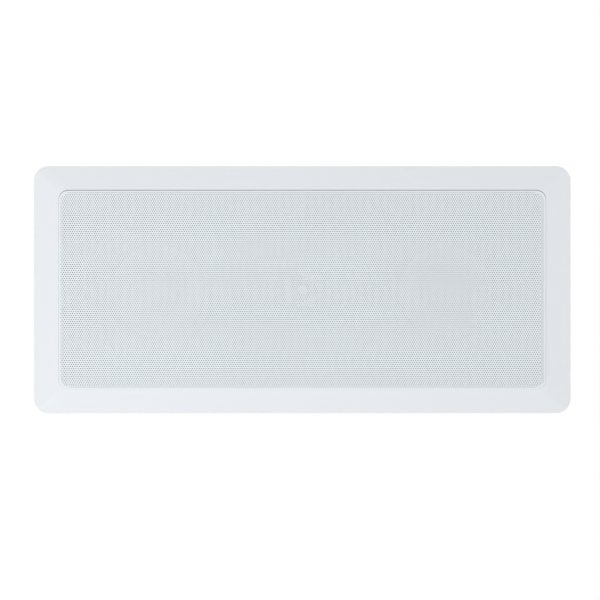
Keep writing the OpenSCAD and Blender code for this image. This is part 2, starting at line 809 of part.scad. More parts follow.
// Air-cored coil of enamelled wire on a flanged bobbin, standing on the board
module inductor(place, outer_r, inner_r, height) {
    cheek_t = 1;
    color(copper) translate([place[0], board_back_y, place[1]]) turned() polygon([
        [inner_r, 0], [outer_r, 0], [outer_r, cheek_t], [outer_r - 1.2, cheek_t],
        [outer_r - 1.2, height - cheek_t], [outer_r, height - cheek_t], [outer_r, height], [inner_r, height]
    ]);
}

// Capacitor lying on the board, with its axis upwards
module capacitor(place, r, length) {
    color([0.75, 0.55, 0.15]) translate([place[0], board_back_y + r, place[1] - length / 2])
        rotate_extrude() polygon([
        [0, 0], [r - 0.8, 0], [r, 0.8], [r, length - 0.8], [r - 0.8, length], [0, length]
    ]);
}

module resistor() {
    color([0.85, 0.84, 0.80]) translate([resistor_x, board_back_y, resistor_z])
        cube([resistor_l, resistor_w, resistor_w]);
}

module terminal_housing() {
    edge = 1.5;
    color(black_plastic)
    difference() {
        union() {
            slab(board_back_y, housing_back_y) translate([0, housing_z]) rounded(housing_w, housing_h, edge);
            slab(board_back_y, board_back_y + 2.5) translate([0, housing_z]) rounded(housing_w + 8, housing_h - 8, edge);
        }
        for (side = [-1, 1]) {
            slab(housing_back_y - port_l, housing_back_y + cut) translate([side * port_x, port_z]) circle(port_d / 2);
            slab(slot_floor_y, housing_back_y + cut) translate([side * port_x, tab_z])
                square([tab_w + 2 * tab_gap, tab_h + 2 * tab_gap], center = true);
        }
        slab(housing_back_y - 3, housing_back_y + cut) translate([0, housing_z])
            square([rib_t, housing_h + cut], center = true);
    }
}

// Push tab that frees the wire, with three grip ridges on its end
module release_tab(side, paint) {
    color(paint) translate([side * port_x, 0, tab_z]) {
        slab(tab_front_y, housing_back_y + tab_proud) square([tab_w, tab_h], center = true);
        for (i = [-1, 0, 1])
            slab(housing_back_y + tab_proud - eps, housing_back_y + tab_proud + 0.6)
                translate([0, 2 * i]) square([tab_w, 0.8], center = true);
    }
}

// Bent leaf between the floor of the slot and the tab
module tab_spring(side) {
    leaf = 0.4;
    height = tab_front_y - slot_floor_y - 0.1;
    color(steel) translate([side * port_x, slot_floor_y, tab_z]) rotate([0, -90, 0])
        translate([0, 0, -tab_w / 4]) linear_extrude(tab_w / 2) polygon([
            [-3, 0], [-3 + leaf, 0], [0, height - leaf], [3 - leaf, 0], [3, 0], [leaf, height], [-leaf, height]
        ]);
}

// Clamp arm at rest, its hub at the origin and its arm to the left, to be turned up
module clamp_arm() {
    tip_r = clamp_arm_w / 2 - 1;
    tooth = 0.5;
    color(black_plastic) translate([0, clamp_open_y, 0])
    difference() {
        union() {
            slab(0, clamp_hub_l) circle(clamp_hub_r);
            slab(0, clamp_arm_t) {
                polygon([
                    [0, -clamp_hub_r], [0, clamp_hub_r],
                    [tip_r - clamp_reach, tip_r], [tip_r - clamp_reach, -tip_r]
                ]);
                translate([tip_r - clamp_reach, 0]) circle(tip_r);
            }
            translate([0, 0, -1.2]) linear_extrude(2.4) polygon([
                [0, clamp_arm_t - eps], [0, clamp_hub_l - 1], [-clamp_hub_r, clamp_hub_l - 1],
                [4 - clamp_reach, clamp_arm_t - eps]
            ]);
        }
        slab(-cut, clamp_hub_l + cut) circle(clamp_screw_r + slip);
        for (i = [0:2])
            translate([2.5 + 2 * i - clamp_reach, -cut, -clamp_arm_w]) cube([1, cut + tooth, 2 * clamp_arm_w]);
    }
}

module clamp_screw() {
    shank_l = clamp_rest_end_y + clamp_tail - (baffle_y - clamp_boss_h);
    color(steel) translate([0, baffle_y - clamp_boss_h, 0])
        pan_screw(clamp_screw_r, shank_l, clamp_head_r, clamp_head_h);
}

// Point at t on the smooth curve from b to c, where a comes before and d after
function curve_point(a, b, c, d, t) =
    0.5 * (2 * b + (c - a) * t + (2 * a - 5 * b + 4 * c - d) * t * t + (3 * b - 3 * c + d - a) * t * t * t);

function curve(route) =
    let (last = len(route) - 1)
    [for (i = [0:last - 1], s = [0:lead_steps - 1])
        curve_point(route[max(i - 1, 0)], route[i], route[i + 1], route[min(i + 2, last)], s / lead_steps),
     route[last]];

function unit(v) = v / norm(v);

// A lead is a tube along a smooth curve through its route's points
module lead(route, side_axis) {
    path = curve(route);
    n = len(path);
    points = [for (i = [0:n - 1], k = [0:lead_sides - 1])
        let (
            first = unit(route[1] - route[0]),
            final = unit(route[len(route) - 1] - route[len(route) - 2]),
            along = i == 0 ? first : i == n - 1 ? final : unit(path[i + 1] - path[i - 1]),
            across = unit(cross(along, side_axis)),
            up = cross(across, along),
            a = k * 360 / lead_sides
        )
        path[i] + lead_d / 2 * (cos(a) * across + sin(a) * up)];
    faces = concat(
        [for (i = [0:n - 2], k = [0:lead_sides - 1])
            let (m = (k + 1) % lead_sides, p = i * lead_sides)
            [p + k, p + m, p + lead_sides + m, p + lead_sides + k]],
        [[for (k = [lead_sides - 1:-1:0]) k]],
        [[for (k = [0:lead_sides - 1]) (n - 1) * lead_sides + k]]
    );
    polyhedron(points, faces);
}

module woofer_leads() {
    lug_mid_y = lug_y + lug_t / 2;
    reach = woofer_lug_x - pad_x;
    for (side = [-1, 1]) color(side > 0 ? "firebrick" : "dimgray")
        lead([
            [-pad_x, board_back_y, side * pad_z], [-pad_x, board_back_y + 4, side * pad_z],
            [-pad_x - 0.19 * reach, board_back_y + 8, side * pad_z],
            [-pad_x - 0.45 * reach, board_back_y + 5, side * (pad_z + lug_z) / 2],
            [-pad_x - 0.64 * reach, lug_mid_y + 3, side * lug_z],
            [-woofer_lug_x + 0.15 * reach, lug_mid_y, side * lug_z],
            [-woofer_lug_x, lug_mid_y, side * lug_z]
        ], [0, 0, 1]);
}

module tweeter_leads() {
    lug_y = tweeter_back_y + strip_t + tweeter_lug_l;
    for (side = [-1, 1]) color(side > 0 ? "firebrick" : "dimgray")
        lead([
            [side * tweeter_pad_x, board_y, 0], [side * tweeter_pad_x, board_y - 3, 0],
            [side * 0.75 * tweeter_pad_x, board_y - 5, 0], [side * 0.44 * tweeter_pad_x, board_y - 5, 0],
            [side * tweeter_lug_x, lug_y + 2, 0], [side * tweeter_lug_x, lug_y, 0]
        ], [0, 0, 1]);
}

frame();
grille();
at_woofer(-1) woofer_basket();  // woofer_left_basket
at_woofer(-1) woofer_surround();  // woofer_left_surround
at_woofer(-1) woofer_cone();  // woofer_left_cone
at_woofer(-1) woofer_dust_cap();  // woofer_left_dust_cap
at_woofer(-1) woofer_voice_coil();  // woofer_left_voice_coil
at_woofer(-1) woofer_spider();  // woofer_left_spider
at_woofer(-1) woofer_top_plate();  // woofer_left_top_plate
at_woofer(-1) woofer_magnet();  // woofer_left_magnet
at_woofer(-1) woofer_back_plate();  // woofer_left_back_plate
at_woofer(-1) woofer_terminals();  // woofer_left_terminals
at_woofer(1) woofer_basket();  // woofer_right_basket
at_woofer(1) woofer_surround();  // woofer_right_surround
at_woofer(1) woofer_cone();  // woofer_right_cone
at_woofer(1) woofer_dust_cap();  // woofer_right_dust_cap
at_woofer(1) woofer_voice_coil();  // woofer_right_voice_coil
at_woofer(1) woofer_spider();  // woofer_right_spider
at_woofer(1) woofer_top_plate();  // woofer_right_top_plate
at_woofer(1) woofer_magnet();  // woofer_right_magnet
at_woofer(1) woofer_back_plate();  // woofer_right_back_plate
at_woofer(1) woofer_terminals();  // woofer_right_terminals
woofer_screws();
tweeter_faceplate();
tweeter_dome();
tweeter_voice_coil();
tweeter_pole_plate();
tweeter_magnet();
tweeter_cup();
tweeter_terminals();
tweeter_screws();
crossover_board();
inductor(woofer_inductor_at, woofer_inductor_r, woofer_inductor_bore_r, woofer_inductor_l);  // woofer_inductor
inductor(tweeter_inductor_at, tweeter_inductor_r, tweeter_inductor_bore_r, tweeter_inductor_l);  // tweeter_inductor
capacitor(woofer_capacitor_at, woofer_capacitor_r, woofer_capacitor_l);  // woofer_capacitor
capacitor(tweeter_capacitor_at, tweeter_capacitor_r, tweeter_capacitor_l);  // tweeter_capacitor
resistor();
board_screws();
terminal_housing();
release_tab(1, "firebrick");  // red_tab
release_tab(-1, black_plastic);  // black_tab
tab_spring(1);  // red_tab_spring
tab_spring(-1);  // black_tab_spring
tweeter_leads();
woofer_leads();  // woofer_left_leads
mirror([1, 0, 0]) woofer_leads();  // woofer_right_leads
at_clamp(TOP_LEFT) clamp_arm();  // clamp_top_left
at_clamp(TOP_MIDDLE) clamp_arm();  // clamp_top_middle
at_clamp(TOP_RIGHT) clamp_arm();  // clamp_top_right
at_clamp(BOTTOM_LEFT) clamp_arm();  // clamp_bottom_left
at_clamp(BOTTOM_MIDDLE) clamp_arm();  // clamp_bottom_middle
at_clamp(BOTTOM_RIGHT) clamp_arm();  // clamp_bottom_right
at_clamp(TOP_LEFT) clamp_screw();  // clamp_screw_top_left
at_clamp(TOP_MIDDLE) clamp_screw();  // clamp_screw_top_middle
at_clamp(TOP_RIGHT) clamp_screw();  // clamp_screw_top_right
at_clamp(BOTTOM_LEFT) clamp_screw();  // clamp_screw_bottom_left
at_clamp(BOTTOM_MIDDLE) clamp_screw();  // clamp_screw_bottom_middle
at_clamp(BOTTOM_RIGHT) clamp_screw();  // clamp_screw_bottom_right
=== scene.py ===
import math

import bmesh
import bpy
from mathutils import Matrix, Vector


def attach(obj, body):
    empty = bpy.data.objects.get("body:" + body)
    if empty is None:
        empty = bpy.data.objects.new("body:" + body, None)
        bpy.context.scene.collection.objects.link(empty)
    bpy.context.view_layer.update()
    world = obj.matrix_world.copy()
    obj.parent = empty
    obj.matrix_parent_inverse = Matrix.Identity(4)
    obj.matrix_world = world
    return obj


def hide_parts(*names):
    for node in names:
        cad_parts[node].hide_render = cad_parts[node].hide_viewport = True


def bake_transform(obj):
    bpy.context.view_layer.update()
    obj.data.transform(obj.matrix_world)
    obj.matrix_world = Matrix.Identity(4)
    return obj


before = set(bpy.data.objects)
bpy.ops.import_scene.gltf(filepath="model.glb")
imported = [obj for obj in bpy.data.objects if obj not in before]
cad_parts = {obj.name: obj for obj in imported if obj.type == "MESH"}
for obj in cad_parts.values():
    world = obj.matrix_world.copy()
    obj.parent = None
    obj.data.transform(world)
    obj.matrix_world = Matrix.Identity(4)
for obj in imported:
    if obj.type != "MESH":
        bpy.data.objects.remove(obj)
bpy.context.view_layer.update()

MM = 0.001


# Studio: the camera looks square on at the grille from three metres, as the photograph does. The
# part is held 1.2 m above a white floor, its usual height in a wall. A soft key lamp stands low on
# the left, a larger one lights the back, and the white surround is dimmer overhead.
PHOTO_PIXELS = 600
PHOTO_PIXEL = 0.9328 * MM
EYE_X = -2.15 * MM
EYE_Z = -9.6 * MM
EYE_DISTANCE = 3.0

scene = bpy.context.scene
camera = bpy.data.objects.new("camera", bpy.data.cameras.new("camera"))
camera.data.sensor_width = 36.0
camera.data.lens = camera.data.sensor_width * EYE_DISTANCE / (PHOTO_PIXELS * PHOTO_PIXEL)
camera.data.clip_end = 50.0
camera.location = (EYE_X, -EYE_DISTANCE, EYE_Z)
camera.rotation_euler = (math.radians(90), 0, 0)
scene.collection.objects.link(camera)
scene.camera = camera
scene.view_settings.view_transform = "Standard"


class Value:
    """A socket of a shader, which sums, products and comparisons turn into Math nodes."""

    def __init__(self, finish, socket):
        self.finish = finish
        self.socket = socket

    def math(self, operation, *others, swap=False):
        values = others + (self,) if swap else (self,) + others
        return self.finish.node("ShaderNodeMath", {"operation": operation}, dict(enumerate(values)))

    def __add__(self, other):
        return self.math("ADD", other)

    def __mul__(self, other):
        return self.math("MULTIPLY", other)

    def __sub__(self, other):
        return self.math("SUBTRACT", other)

    def __rsub__(self, other):
        return self.math("SUBTRACT", other, swap=True)

    def __gt__(self, other):
        return self.math("GREATER_THAN", other)

    def __lt__(self, other):
        return self.math("LESS_THAN", other)

    __radd__ = __add__
    __rmul__ = __mul__


class Finish:
    """A material with one Principled shader, whose nodes are made by the method node."""

    def __init__(self, name, colour, roughness, metallic=0.0):
        self.material = bpy.data.materials.new(name)
        self.material.use_nodes = True
        self.tree = self.material.node_tree
        self.shader = self.tree.nodes["Principled BSDF"]
        self.output = self.tree.nodes["Material Output"]
        self.set("Base Color", (*colour, 1))
        self.set("Roughness", roughness)
        self.set("Metallic", metallic)

    def node(self, kind, settings=None, values=None, output=0):
        made = self.tree.nodes.new(kind)
        for key, value in (settings or {}).items():
            setattr(made, key, value)
        for key, value in (values or {}).items():
            if isinstance(value, Value):
                self.tree.links.new(value.socket, made.inputs[key])
            else:
                made.inputs[key].default_value = value
        return Value(self, made.outputs[output])

    def set(self, socket, value):
        if isinstance(value, Value):
            self.tree.links.new(value.socket, self.shader.inputs[socket])
        else:
            self.shader.inputs[socket].default_value = value

    def place(self):
        return self.node("ShaderNodeTexCoord", output=3)

    def xyz(self):
        split = self.node("ShaderNodeSeparateXYZ", values={0: self.place()}).socket.node
        return [Value(self, socket) for socket in split.outputs]

    def noise(self, size, detail, stretch=(1, 1, 1)):
        """Noise from 0 to 1 whose blotches are about size metres across."""
        mapped = self.node("ShaderNodeMapping", values={"Vector": self.place(), "Scale": stretch})
        return self.node("ShaderNodeTexNoise", values={"Vector": mapped, "Scale": 1 / size, "Detail": detail})

    def mix(self, share, first, second):
        first, second = [c if isinstance(c, Value) else (*c, 1) for c in (first, second)]
        return self.node("ShaderNodeMix", {"data_type": "RGBA"}, {0: share, 6: first, 7: second}, output=2)

    def vary(self, pattern, low, high, smoothest, spread):
        """Colour from low to high and roughness from smoothest up, both along a pattern."""
        self.set("Base Color", self.mix(pattern, low, high))
        self.set("Roughness", smoothest + pattern * spread)

    def bump(self, height, depth, strength):
        self.set("Normal", self.node("ShaderNodeBump", values={
            "Height": height, "Distance": depth, "Strength": strength}))


class Steps:
    """Adds nodes to a tree, each linked to sockets or set to values."""

    def __init__(self, tree):
        self.tree = tree

    def __call__(self, kind, settings=None, values=None, output=0):
        made = self.tree.nodes.new(kind)
        for key, value in (settings or {}).items():
            setattr(made, key, value)
        for key, value in (values or {}).items():
            for link in value if isinstance(value, list) else [value]:
                if isinstance(link, bpy.types.NodeSocket):
                    self.tree.links.new(link, made.inputs[key])
                else:
                    made.inputs[key].default_value = link
        return made.outputs[output]

    def end(self, geometry, material):
        result = self.tree.nodes.new("NodeGroupOutput")
        real = self("GeometryNodeRealizeInstances", values={0: geometry})
        painted = self("GeometryNodeSetMaterial", values={0: real, "Material": material})
        self.tree.links.new(painted, result.inputs[0])


def soft_light(name, place, target, width, power):
    lamp = bpy.data.objects.new(name, bpy.data.lights.new(name, "AREA"))
    lamp.data.shape = "DISK"
    lamp.data.size = width
    lamp.data.energy = power
    lamp.location = place
    lamp.rotation_euler = (Vector(target) - Vector(place)).to_track_quat("-Z", "Y").to_euler()
    lamp.visible_camera = False
    scene.collection.objects.link(lamp)


HORIZON_LEVEL = 1.085
ZENITH_LEVEL = 0.25
DUSK_START = 0.35
DUSK_END = 0.85
soft_light("key_light", (-0.4, -1.0, -0.25), (0, 0, 0), 0.7, 2.4)
soft_light("back_light", (1.6, 2.2, 1.3), (0, 0, 0), 1.2, 26)

world = bpy.data.worlds.new("surround")
scene.world = world
world.use_nodes = True
sky = Steps(world.node_tree)
ray = sky("ShaderNodeLightPath").node.outputs
direction = sky("ShaderNodeSeparateXYZ", values={0: sky("ShaderNodeTexCoord", output=0)}, output=2)
level = sky("ShaderNodeMapRange", values={
    "Value": direction, "From Min": DUSK_START, "From Max": DUSK_END,
    "To Min": HORIZON_LEVEL, "To Max": ZENITH_LEVEL})
seen_directly = sky("ShaderNodeMath", {"operation": "MAXIMUM"}, {
    0: ray["Is Camera Ray"], 1: ray["Is Glossy Ray"]})
seen = sky("ShaderNodeMath", {"operation": "MAXIMUM"}, {0: seen_directly, 1: ray["Is Transmission Ray"]})
strength = sky("ShaderNodeMix", values={0: seen, 2: level, 3: 1.0})
background = world.node_tree.nodes["Background"]
background.inputs["Color"].default_value = (1, 1, 1, 1)
world.node_tree.links.new(strength, background.inputs["Strength"])

FLOOR_R = 5.0
FLOOR_Z = -1.2
FLOOR_SIDES = 64
floor_mesh = bpy.data.meshes.new("floor")
floor_mesh.from_pydata(
    [(FLOOR_R * math.cos(a), FLOOR_R * math.sin(a), FLOOR_Z)
     for a in [k * math.tau / FLOOR_SIDES for k in range(FLOOR_SIDES)]], [], [list(range(FLOOR_SIDES))])
studio_floor = bpy.data.objects.new("floor", floor_mesh)
scene.collection.objects.link(studio_floor)
floor_white = Finish("floor_white", (0.92, 0.92, 0.92), 0.9)
floor_white.set("Emission Color", (1, 1, 1, 1))
floor_white.set("Emission Strength", 0.12)
white_glow = floor_white.node("ShaderNodeEmission", values={"Strength": 1.1})
camera_ray = floor_white.node("ShaderNodeLightPath")
floor_mix = floor_white.node("ShaderNodeMixShader", values={
    0: camera_ray * 0.8, 1: Value(floor_white, floor_white.shader.outputs[0]), 2: white_glow})
floor_white.tree.links.new(floor_mix.socket, floor_white.output.inputs["Surface"])
floor_mesh.materials.append(floor_white.material)


# Frame: one injection moulding of cool white ABS with a fine spark-eroded texture, its edges just
# broken. The recess behind the grille is coloured near-black and made matt: painted shade for the
# dark seen through the grille's holes.
RECESS_X = 223.0 * MM
RECESS_Z = 89.1 * MM
RECESS_FRONT_Y = -3.2 * MM
RECESS_BACK_Y = 8.6 * MM
OPENING_X = 227.4 * MM
OPENING_Z = 93.4 * MM
OPENING_Y = -6.8 * MM


def piece(name, mesh, body, material, replaced=()):
    made = bpy.data.objects.new(name, mesh)
    scene.collection.objects.link(made)
    mesh.materials.clear()
    mesh.materials.append(material)
    if body:
        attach(made, body)
    if replaced:
        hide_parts(*replaced)
    return made


def broken_edges(node, edge, body, material, segments=2, sharp=28.0, crisp=None):
    """A merged copy of a solid whose sharp edges are rounded by edge metres; it replaces the solid.
    An edge whose middle crisp() picks stays as it is. Large faces lead the shading of the rest."""
    solid = bmesh.new()
    solid.from_mesh(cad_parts[node].data)
    bmesh.ops.remove_doubles(solid, verts=solid.verts, dist=2e-6)
    corners = [e for e in solid.edges if len(e.link_faces) == 2
               and e.calc_face_angle(0) > math.radians(sharp)
               and not (crisp and crisp((e.verts[0].co + e.verts[1].co) / 2))]
    if edge:
        bmesh.ops.bevel(
            solid, geom=corners, offset=edge, offset_type="OFFSET", segments=segments,
            profile=0.5, affect="EDGES", clamp_overlap=False)
        bmesh.ops.remove_doubles(solid, verts=solid.verts, dist=1e-6)
    mesh = bpy.data.meshes.new(node + "_finished")
    solid.to_mesh(mesh)
    solid.free()
    mesh.shade_smooth()
    mesh.set_sharp_from_angle(angle=math.radians(35))
    if crisp:
        for line in mesh.edges:
            a, b = (mesh.vertices[i].co for i in line.vertices)
            line.use_edge_sharp = line.use_edge_sharp or crisp((a + b) / 2)
    if edge:
        draft = bpy.data.objects.new(node + "_draft", mesh)
        scene.collection.objects.link(draft)
        shading = draft.modifiers.new("large faces lead", "WEIGHTED_NORMAL")
        shading.mode = "FACE_AREA"
        shading.keep_sharp = True
        evaluated = draft.evaluated_get(bpy.context.evaluated_depsgraph_get())
        mesh = bpy.data.meshes.new_from_object(evaluated)
        mesh.name = node + "_finished"
        bpy.data.objects.remove(draft)
    return piece(node + "_finished", mesh, body, material, (node,))


FRAME_WHITE = (0.792, 0.820, 0.850)
moulding = Finish("frame_abs", FRAME_WHITE, 0.42)
grain = moulding.noise(0.45 * MM, 2)
cloud = moulding.noise(60 * MM, 2)
x, y, z = moulding.xyz()
# Painted shade: a mask over the recess behind the grille, where the grille's shadow falls
recess_painted_shade = (
    (x.math("ABSOLUTE") < RECESS_X) * (z.math("ABSOLUTE") < RECESS_Z)
    * (y > RECESS_FRONT_Y) * (y < RECESS_BACK_Y))
plastic = moulding.mix(cloud * 0.5, FRAME_WHITE, (0.778, 0.808, 0.840))
# Painted shade: near-black over the recess behind the grille, the white plastic elsewhere
moulding.set("Base Color", moulding.mix(recess_painted_shade, plastic, (0.022, 0.022, 0.024)))
moulding.set("Roughness", 0.36 + grain * 0.14 + recess_painted_shade * 0.35)
moulding.bump(grain, 0.012 * MM, 0.6)


def at_grille_opening(middle):
    return middle.y < OPENING_Y and abs(middle.x) < OPENING_X and abs(middle.z) < OPENING_Z


broken_edges("frame", 0.3 * MM, "frame", moulding.material, crisp=at_grille_opening)


# Grille: one sheet of steel with round holes in staggered rows, pressed to a shallow tray with a
# bent and turned rim, and powder-coated white. It rests on the lower edge of the frame's groove.
GRILLE_W = 453.4 * MM
GRILLE_H = 185.2 * MM
GRILLE_CORNER_R = 8.7 * MM
GRILLE_T = 0.8 * MM
GRILLE_BEND_R = 0.9 * MM
GRILLE_FRONT_Y = -8.3 * MM
GRILLE_RIM_Y = -3.8 * MM
HOLE_D = 0.99 * MM
HOLE_PITCH = 2.122 * MM
HOLE_ROW = 1.902 * MM
HOLE_COLUMNS = 212
HOLE_ROWS = 96
FIELD_INSET = 0.95 * MM
GRILLE_DROP = 0.19 * MM
RIM_CHAMFER = 0.2 * MM
WELD = 0.02 * MM


def node_tree(name, **sizes):
    """A Geometry Nodes group with one float input for each size, a geometry input and an output."""
    tree = bpy.data.node_groups.new(name, "GeometryNodeTree")
    tree.interface.new_socket(name="Geometry", in_out="INPUT", socket_type="NodeSocketGeometry")
    tree.interface.new_socket(name="Geometry", in_out="OUTPUT", socket_type="NodeSocketGeometry")
    sockets = {}
    for size, value in sizes.items():
        socket = tree.interface.new_socket(name=size, in_out="INPUT", socket_type="NodeSocketFloat")
        socket.default_value = value
        sockets[size] = socket.identifier
    return tree, sockets


def grown(name, points, tree, sockets, sizes):
    """The plain mesh that a Geometry Nodes group makes from the given points."""
    seeds = bpy.data.meshes.new(name)
    seeds.from_pydata(points, [], [])
    host = bpy.data.objects.new(name, seeds)
    scene.collection.objects.link(host)
    modifier = host.modifiers.new("grow", "NODES")
    modifier.node_group = tree
    for size, value in sizes.items():
        modifier[sockets[size]] = value
    evaluated = host.evaluated_get(bpy.context.evaluated_depsgraph_get())
    mesh = bpy.data.meshes.new_from_object(evaluated)
    bpy.data.objects.remove(host)
    return mesh


COAT_WHITE = (0.800, 0.849, 0.880)
coat = Finish("grille_powder_coat", COAT_WHITE, 0.5)
peel = coat.noise(1.6 * MM, 2)
drift = coat.noise(90 * MM, 1)
coat.set("Base Color", coat.mix(drift * 0.6, COAT_WHITE, (0.752, 0.800, 0.832)))
coat.set("Roughness", 0.42 + peel * 0.16)
coat.bump(peel, 0.02 * MM, 0.35)

# One cell: a six-sided ring of faces between the hole and the hexagon halfway to its neighbours
CELL_SIZES = {"hole_radius": HOLE_D / 2, "pitch": HOLE_PITCH, "row": HOLE_ROW, "thickness": GRILLE_T}
perforated, perforated_inputs = node_tree("perforated_sheet", **CELL_SIZES)
step = Steps(perforated)


def arithmetic(operation, *values):
    return step("ShaderNodeMath", {"operation": operation}, dict(enumerate(values)))


given = perforated.nodes.new("NodeGroupInput").outputs
hole = step("GeometryNodeMeshCircle", {"fill_type": "NONE"}, {"Vertices": 6, "Radius": 1.0})
unit_ring = step("GeometryNodeTransform", values={0: hole, "Rotation": (0, 0, math.radians(30))})
ring_node = step("GeometryNodeExtrudeMesh", {"mode": "EDGES"}, {0: unit_ring, "Offset Scale": 0.0}).node
corner = step("GeometryNodeInputPosition")
cell_scale = step("ShaderNodeCombineXYZ", values={
    0: arithmetic("MULTIPLY", given["pitch"], 0.5 / math.cos(math.radians(30))),
    1: arithmetic("MULTIPLY", given["row"], 2 / 3)})
outline = step("ShaderNodeVectorMath", {"operation": "MULTIPLY"}, {0: corner, 1: cell_scale})
inner = step("ShaderNodeVectorMath", {"operation": "SCALE"}, {0: corner, "Scale": given["hole_radius"]})
outer_set = step("GeometryNodeSetPosition", values={
    0: ring_node.outputs[0], "Selection": ring_node.outputs["Top"], "Position": outline})
not_outer = step("FunctionNodeBooleanMath", {"operation": "NOT"}, {0: ring_node.outputs["Top"]})
cell = step("GeometryNodeSetPosition", values={0: outer_set, "Selection": not_outer, "Position": inner})
upright = step("GeometryNodeTransform", values={0: cell, "Rotation": (math.radians(90), 0, 0)})
seeds_as_points = step("GeometryNodeMeshToPoints", values={0: given["Geometry"]})
cells = step("GeometryNodeInstanceOnPoints", values={"Points": seeds_as_points, "Instance": upright})
flat = step("GeometryNodeMergeByDistance", values={
    0: step("GeometryNodeRealizeInstances", values={0: cells}), "Distance": WELD})
back_of_sheet = step("ShaderNodeCombineXYZ", values={1: given["thickness"]})
walls = step("GeometryNodeExtrudeMesh", {"mode": "FACES"}, {
    0: flat, "Offset": back_of_sheet, "Offset Scale": 1.0, "Individual": False})
both = step("GeometryNodeJoinGeometry", values={0: [walls, flat]})
closed = step("GeometryNodeMergeByDistance", values={0: both, "Distance": WELD})
step.end(closed, coat.material)


def moved(mesh, offset):
    mesh.transform(Matrix.Translation(offset))
    return mesh


def skin(shell, rings):
    """Faces between each ring of vertices and the next."""
    for a, b in zip(rings, rings[1:]):
        for i in range(len(a)):
            j = (i + 1) % len(a)
            shell.faces.new((a[i], a[j], b[j], b[i]))


def closed_mesh(name, shell, sharp=None):
    """The mesh of a closed shell, with its normals out, smooth over edges of less than sharp degrees."""
    bmesh.ops.recalc_face_normals(shell, faces=shell.faces)
    mesh = bpy.data.meshes.new(name)
    shell.to_mesh(mesh)
    shell.free()
    if sharp:
        mesh.shade_smooth()
        mesh.set_sharp_from_angle(angle=math.radians(sharp))
    return mesh


def hole_centres():
    """Centres of the holes whose whole cell lies on the flat of the tray."""
    half_w = GRILLE_W / 2 - FIELD_INSET
    half_h = GRILLE_H / 2 - FIELD_INSET
    r = GRILLE_CORNER_R - FIELD_INSET
    reach_x, reach_z = HOLE_PITCH / 2, HOLE_ROW * 2 / 3
    centres = []
    for row in range(HOLE_ROWS):
        for column in range(HOLE_COLUMNS):
            shift = 0.25 if row % 2 else -0.25
            cx = (column - (HOLE_COLUMNS - 1) / 2 + shift) * HOLE_PITCH
            cz = (row - (HOLE_ROWS - 1) / 2) * HOLE_ROW
            over_x = abs(cx) + reach_x - (half_w - r)
            over_z = abs(cz) + reach_z - (half_h - r)
            if over_x > 0 and over_z > 0 and math.hypot(over_x, over_z) > r:
                continue
            if over_x > r or over_z > r:
                continue
            centres.append((cx, cz))
    return centres


def cell_corners(cx, cz):
    half, low, tall = HOLE_PITCH / 2, HOLE_ROW / 3, HOLE_ROW * 2 / 3
    return [(cx + half, cz + low), (cx, cz + tall), (cx - half, cz + low),
            (cx - half, cz - low), (cx, cz - tall), (cx + half, cz - low)]


centres = hole_centres()
QUARTERS = {"left_low": (-1, -1), "right_low": (1, -1), "left_high": (-1, 1), "right_high": (1, 1)}
for quarter, (side_x, side_z) in QUARTERS.items():
    own = [(cx, GRILLE_FRONT_Y, cz) for cx, cz in centres
           if (cx >= 0) == (side_x > 0) and (cz >= 0) == (side_z > 0)]
    sheet = grown("grille_sheet_" + quarter, own, perforated, perforated_inputs, CELL_SIZES)
    solid = bmesh.new()
    solid.from_mesh(sheet)
    bmesh.ops.recalc_face_normals(solid, faces=solid.faces)
    solid.to_mesh(sheet)
    solid.free()
    sheet.shade_flat()
    moved(sheet, (0, 0, -GRILLE_DROP))
    piece("grille_sheet_" + quarter, sheet, "frame", coat.material)


def border_loop():
    """The outline of the field of cells, as one closed loop of points."""
    def key(point):
        return round(point[0] * 4 / HOLE_PITCH), round(point[1] * 6 / HOLE_ROW)

    edges = {}
    for cx, cz in centres:
        corners = cell_corners(cx, cz)
        for a, b in zip(corners, corners[1:] + corners[:1]):
            pair = frozenset((key(a), key(b)))
            if pair in edges:
                del edges[pair]
            else:
                edges[pair] = (a, b)
    following = {key(a): (key(b), b) for a, b in edges.values()}
    first = next(iter(following))
    loop, here = [], first
    for _ in following:
        here, point = following[here]
        loop.append(point)
        if here == first:
            break
    return loop


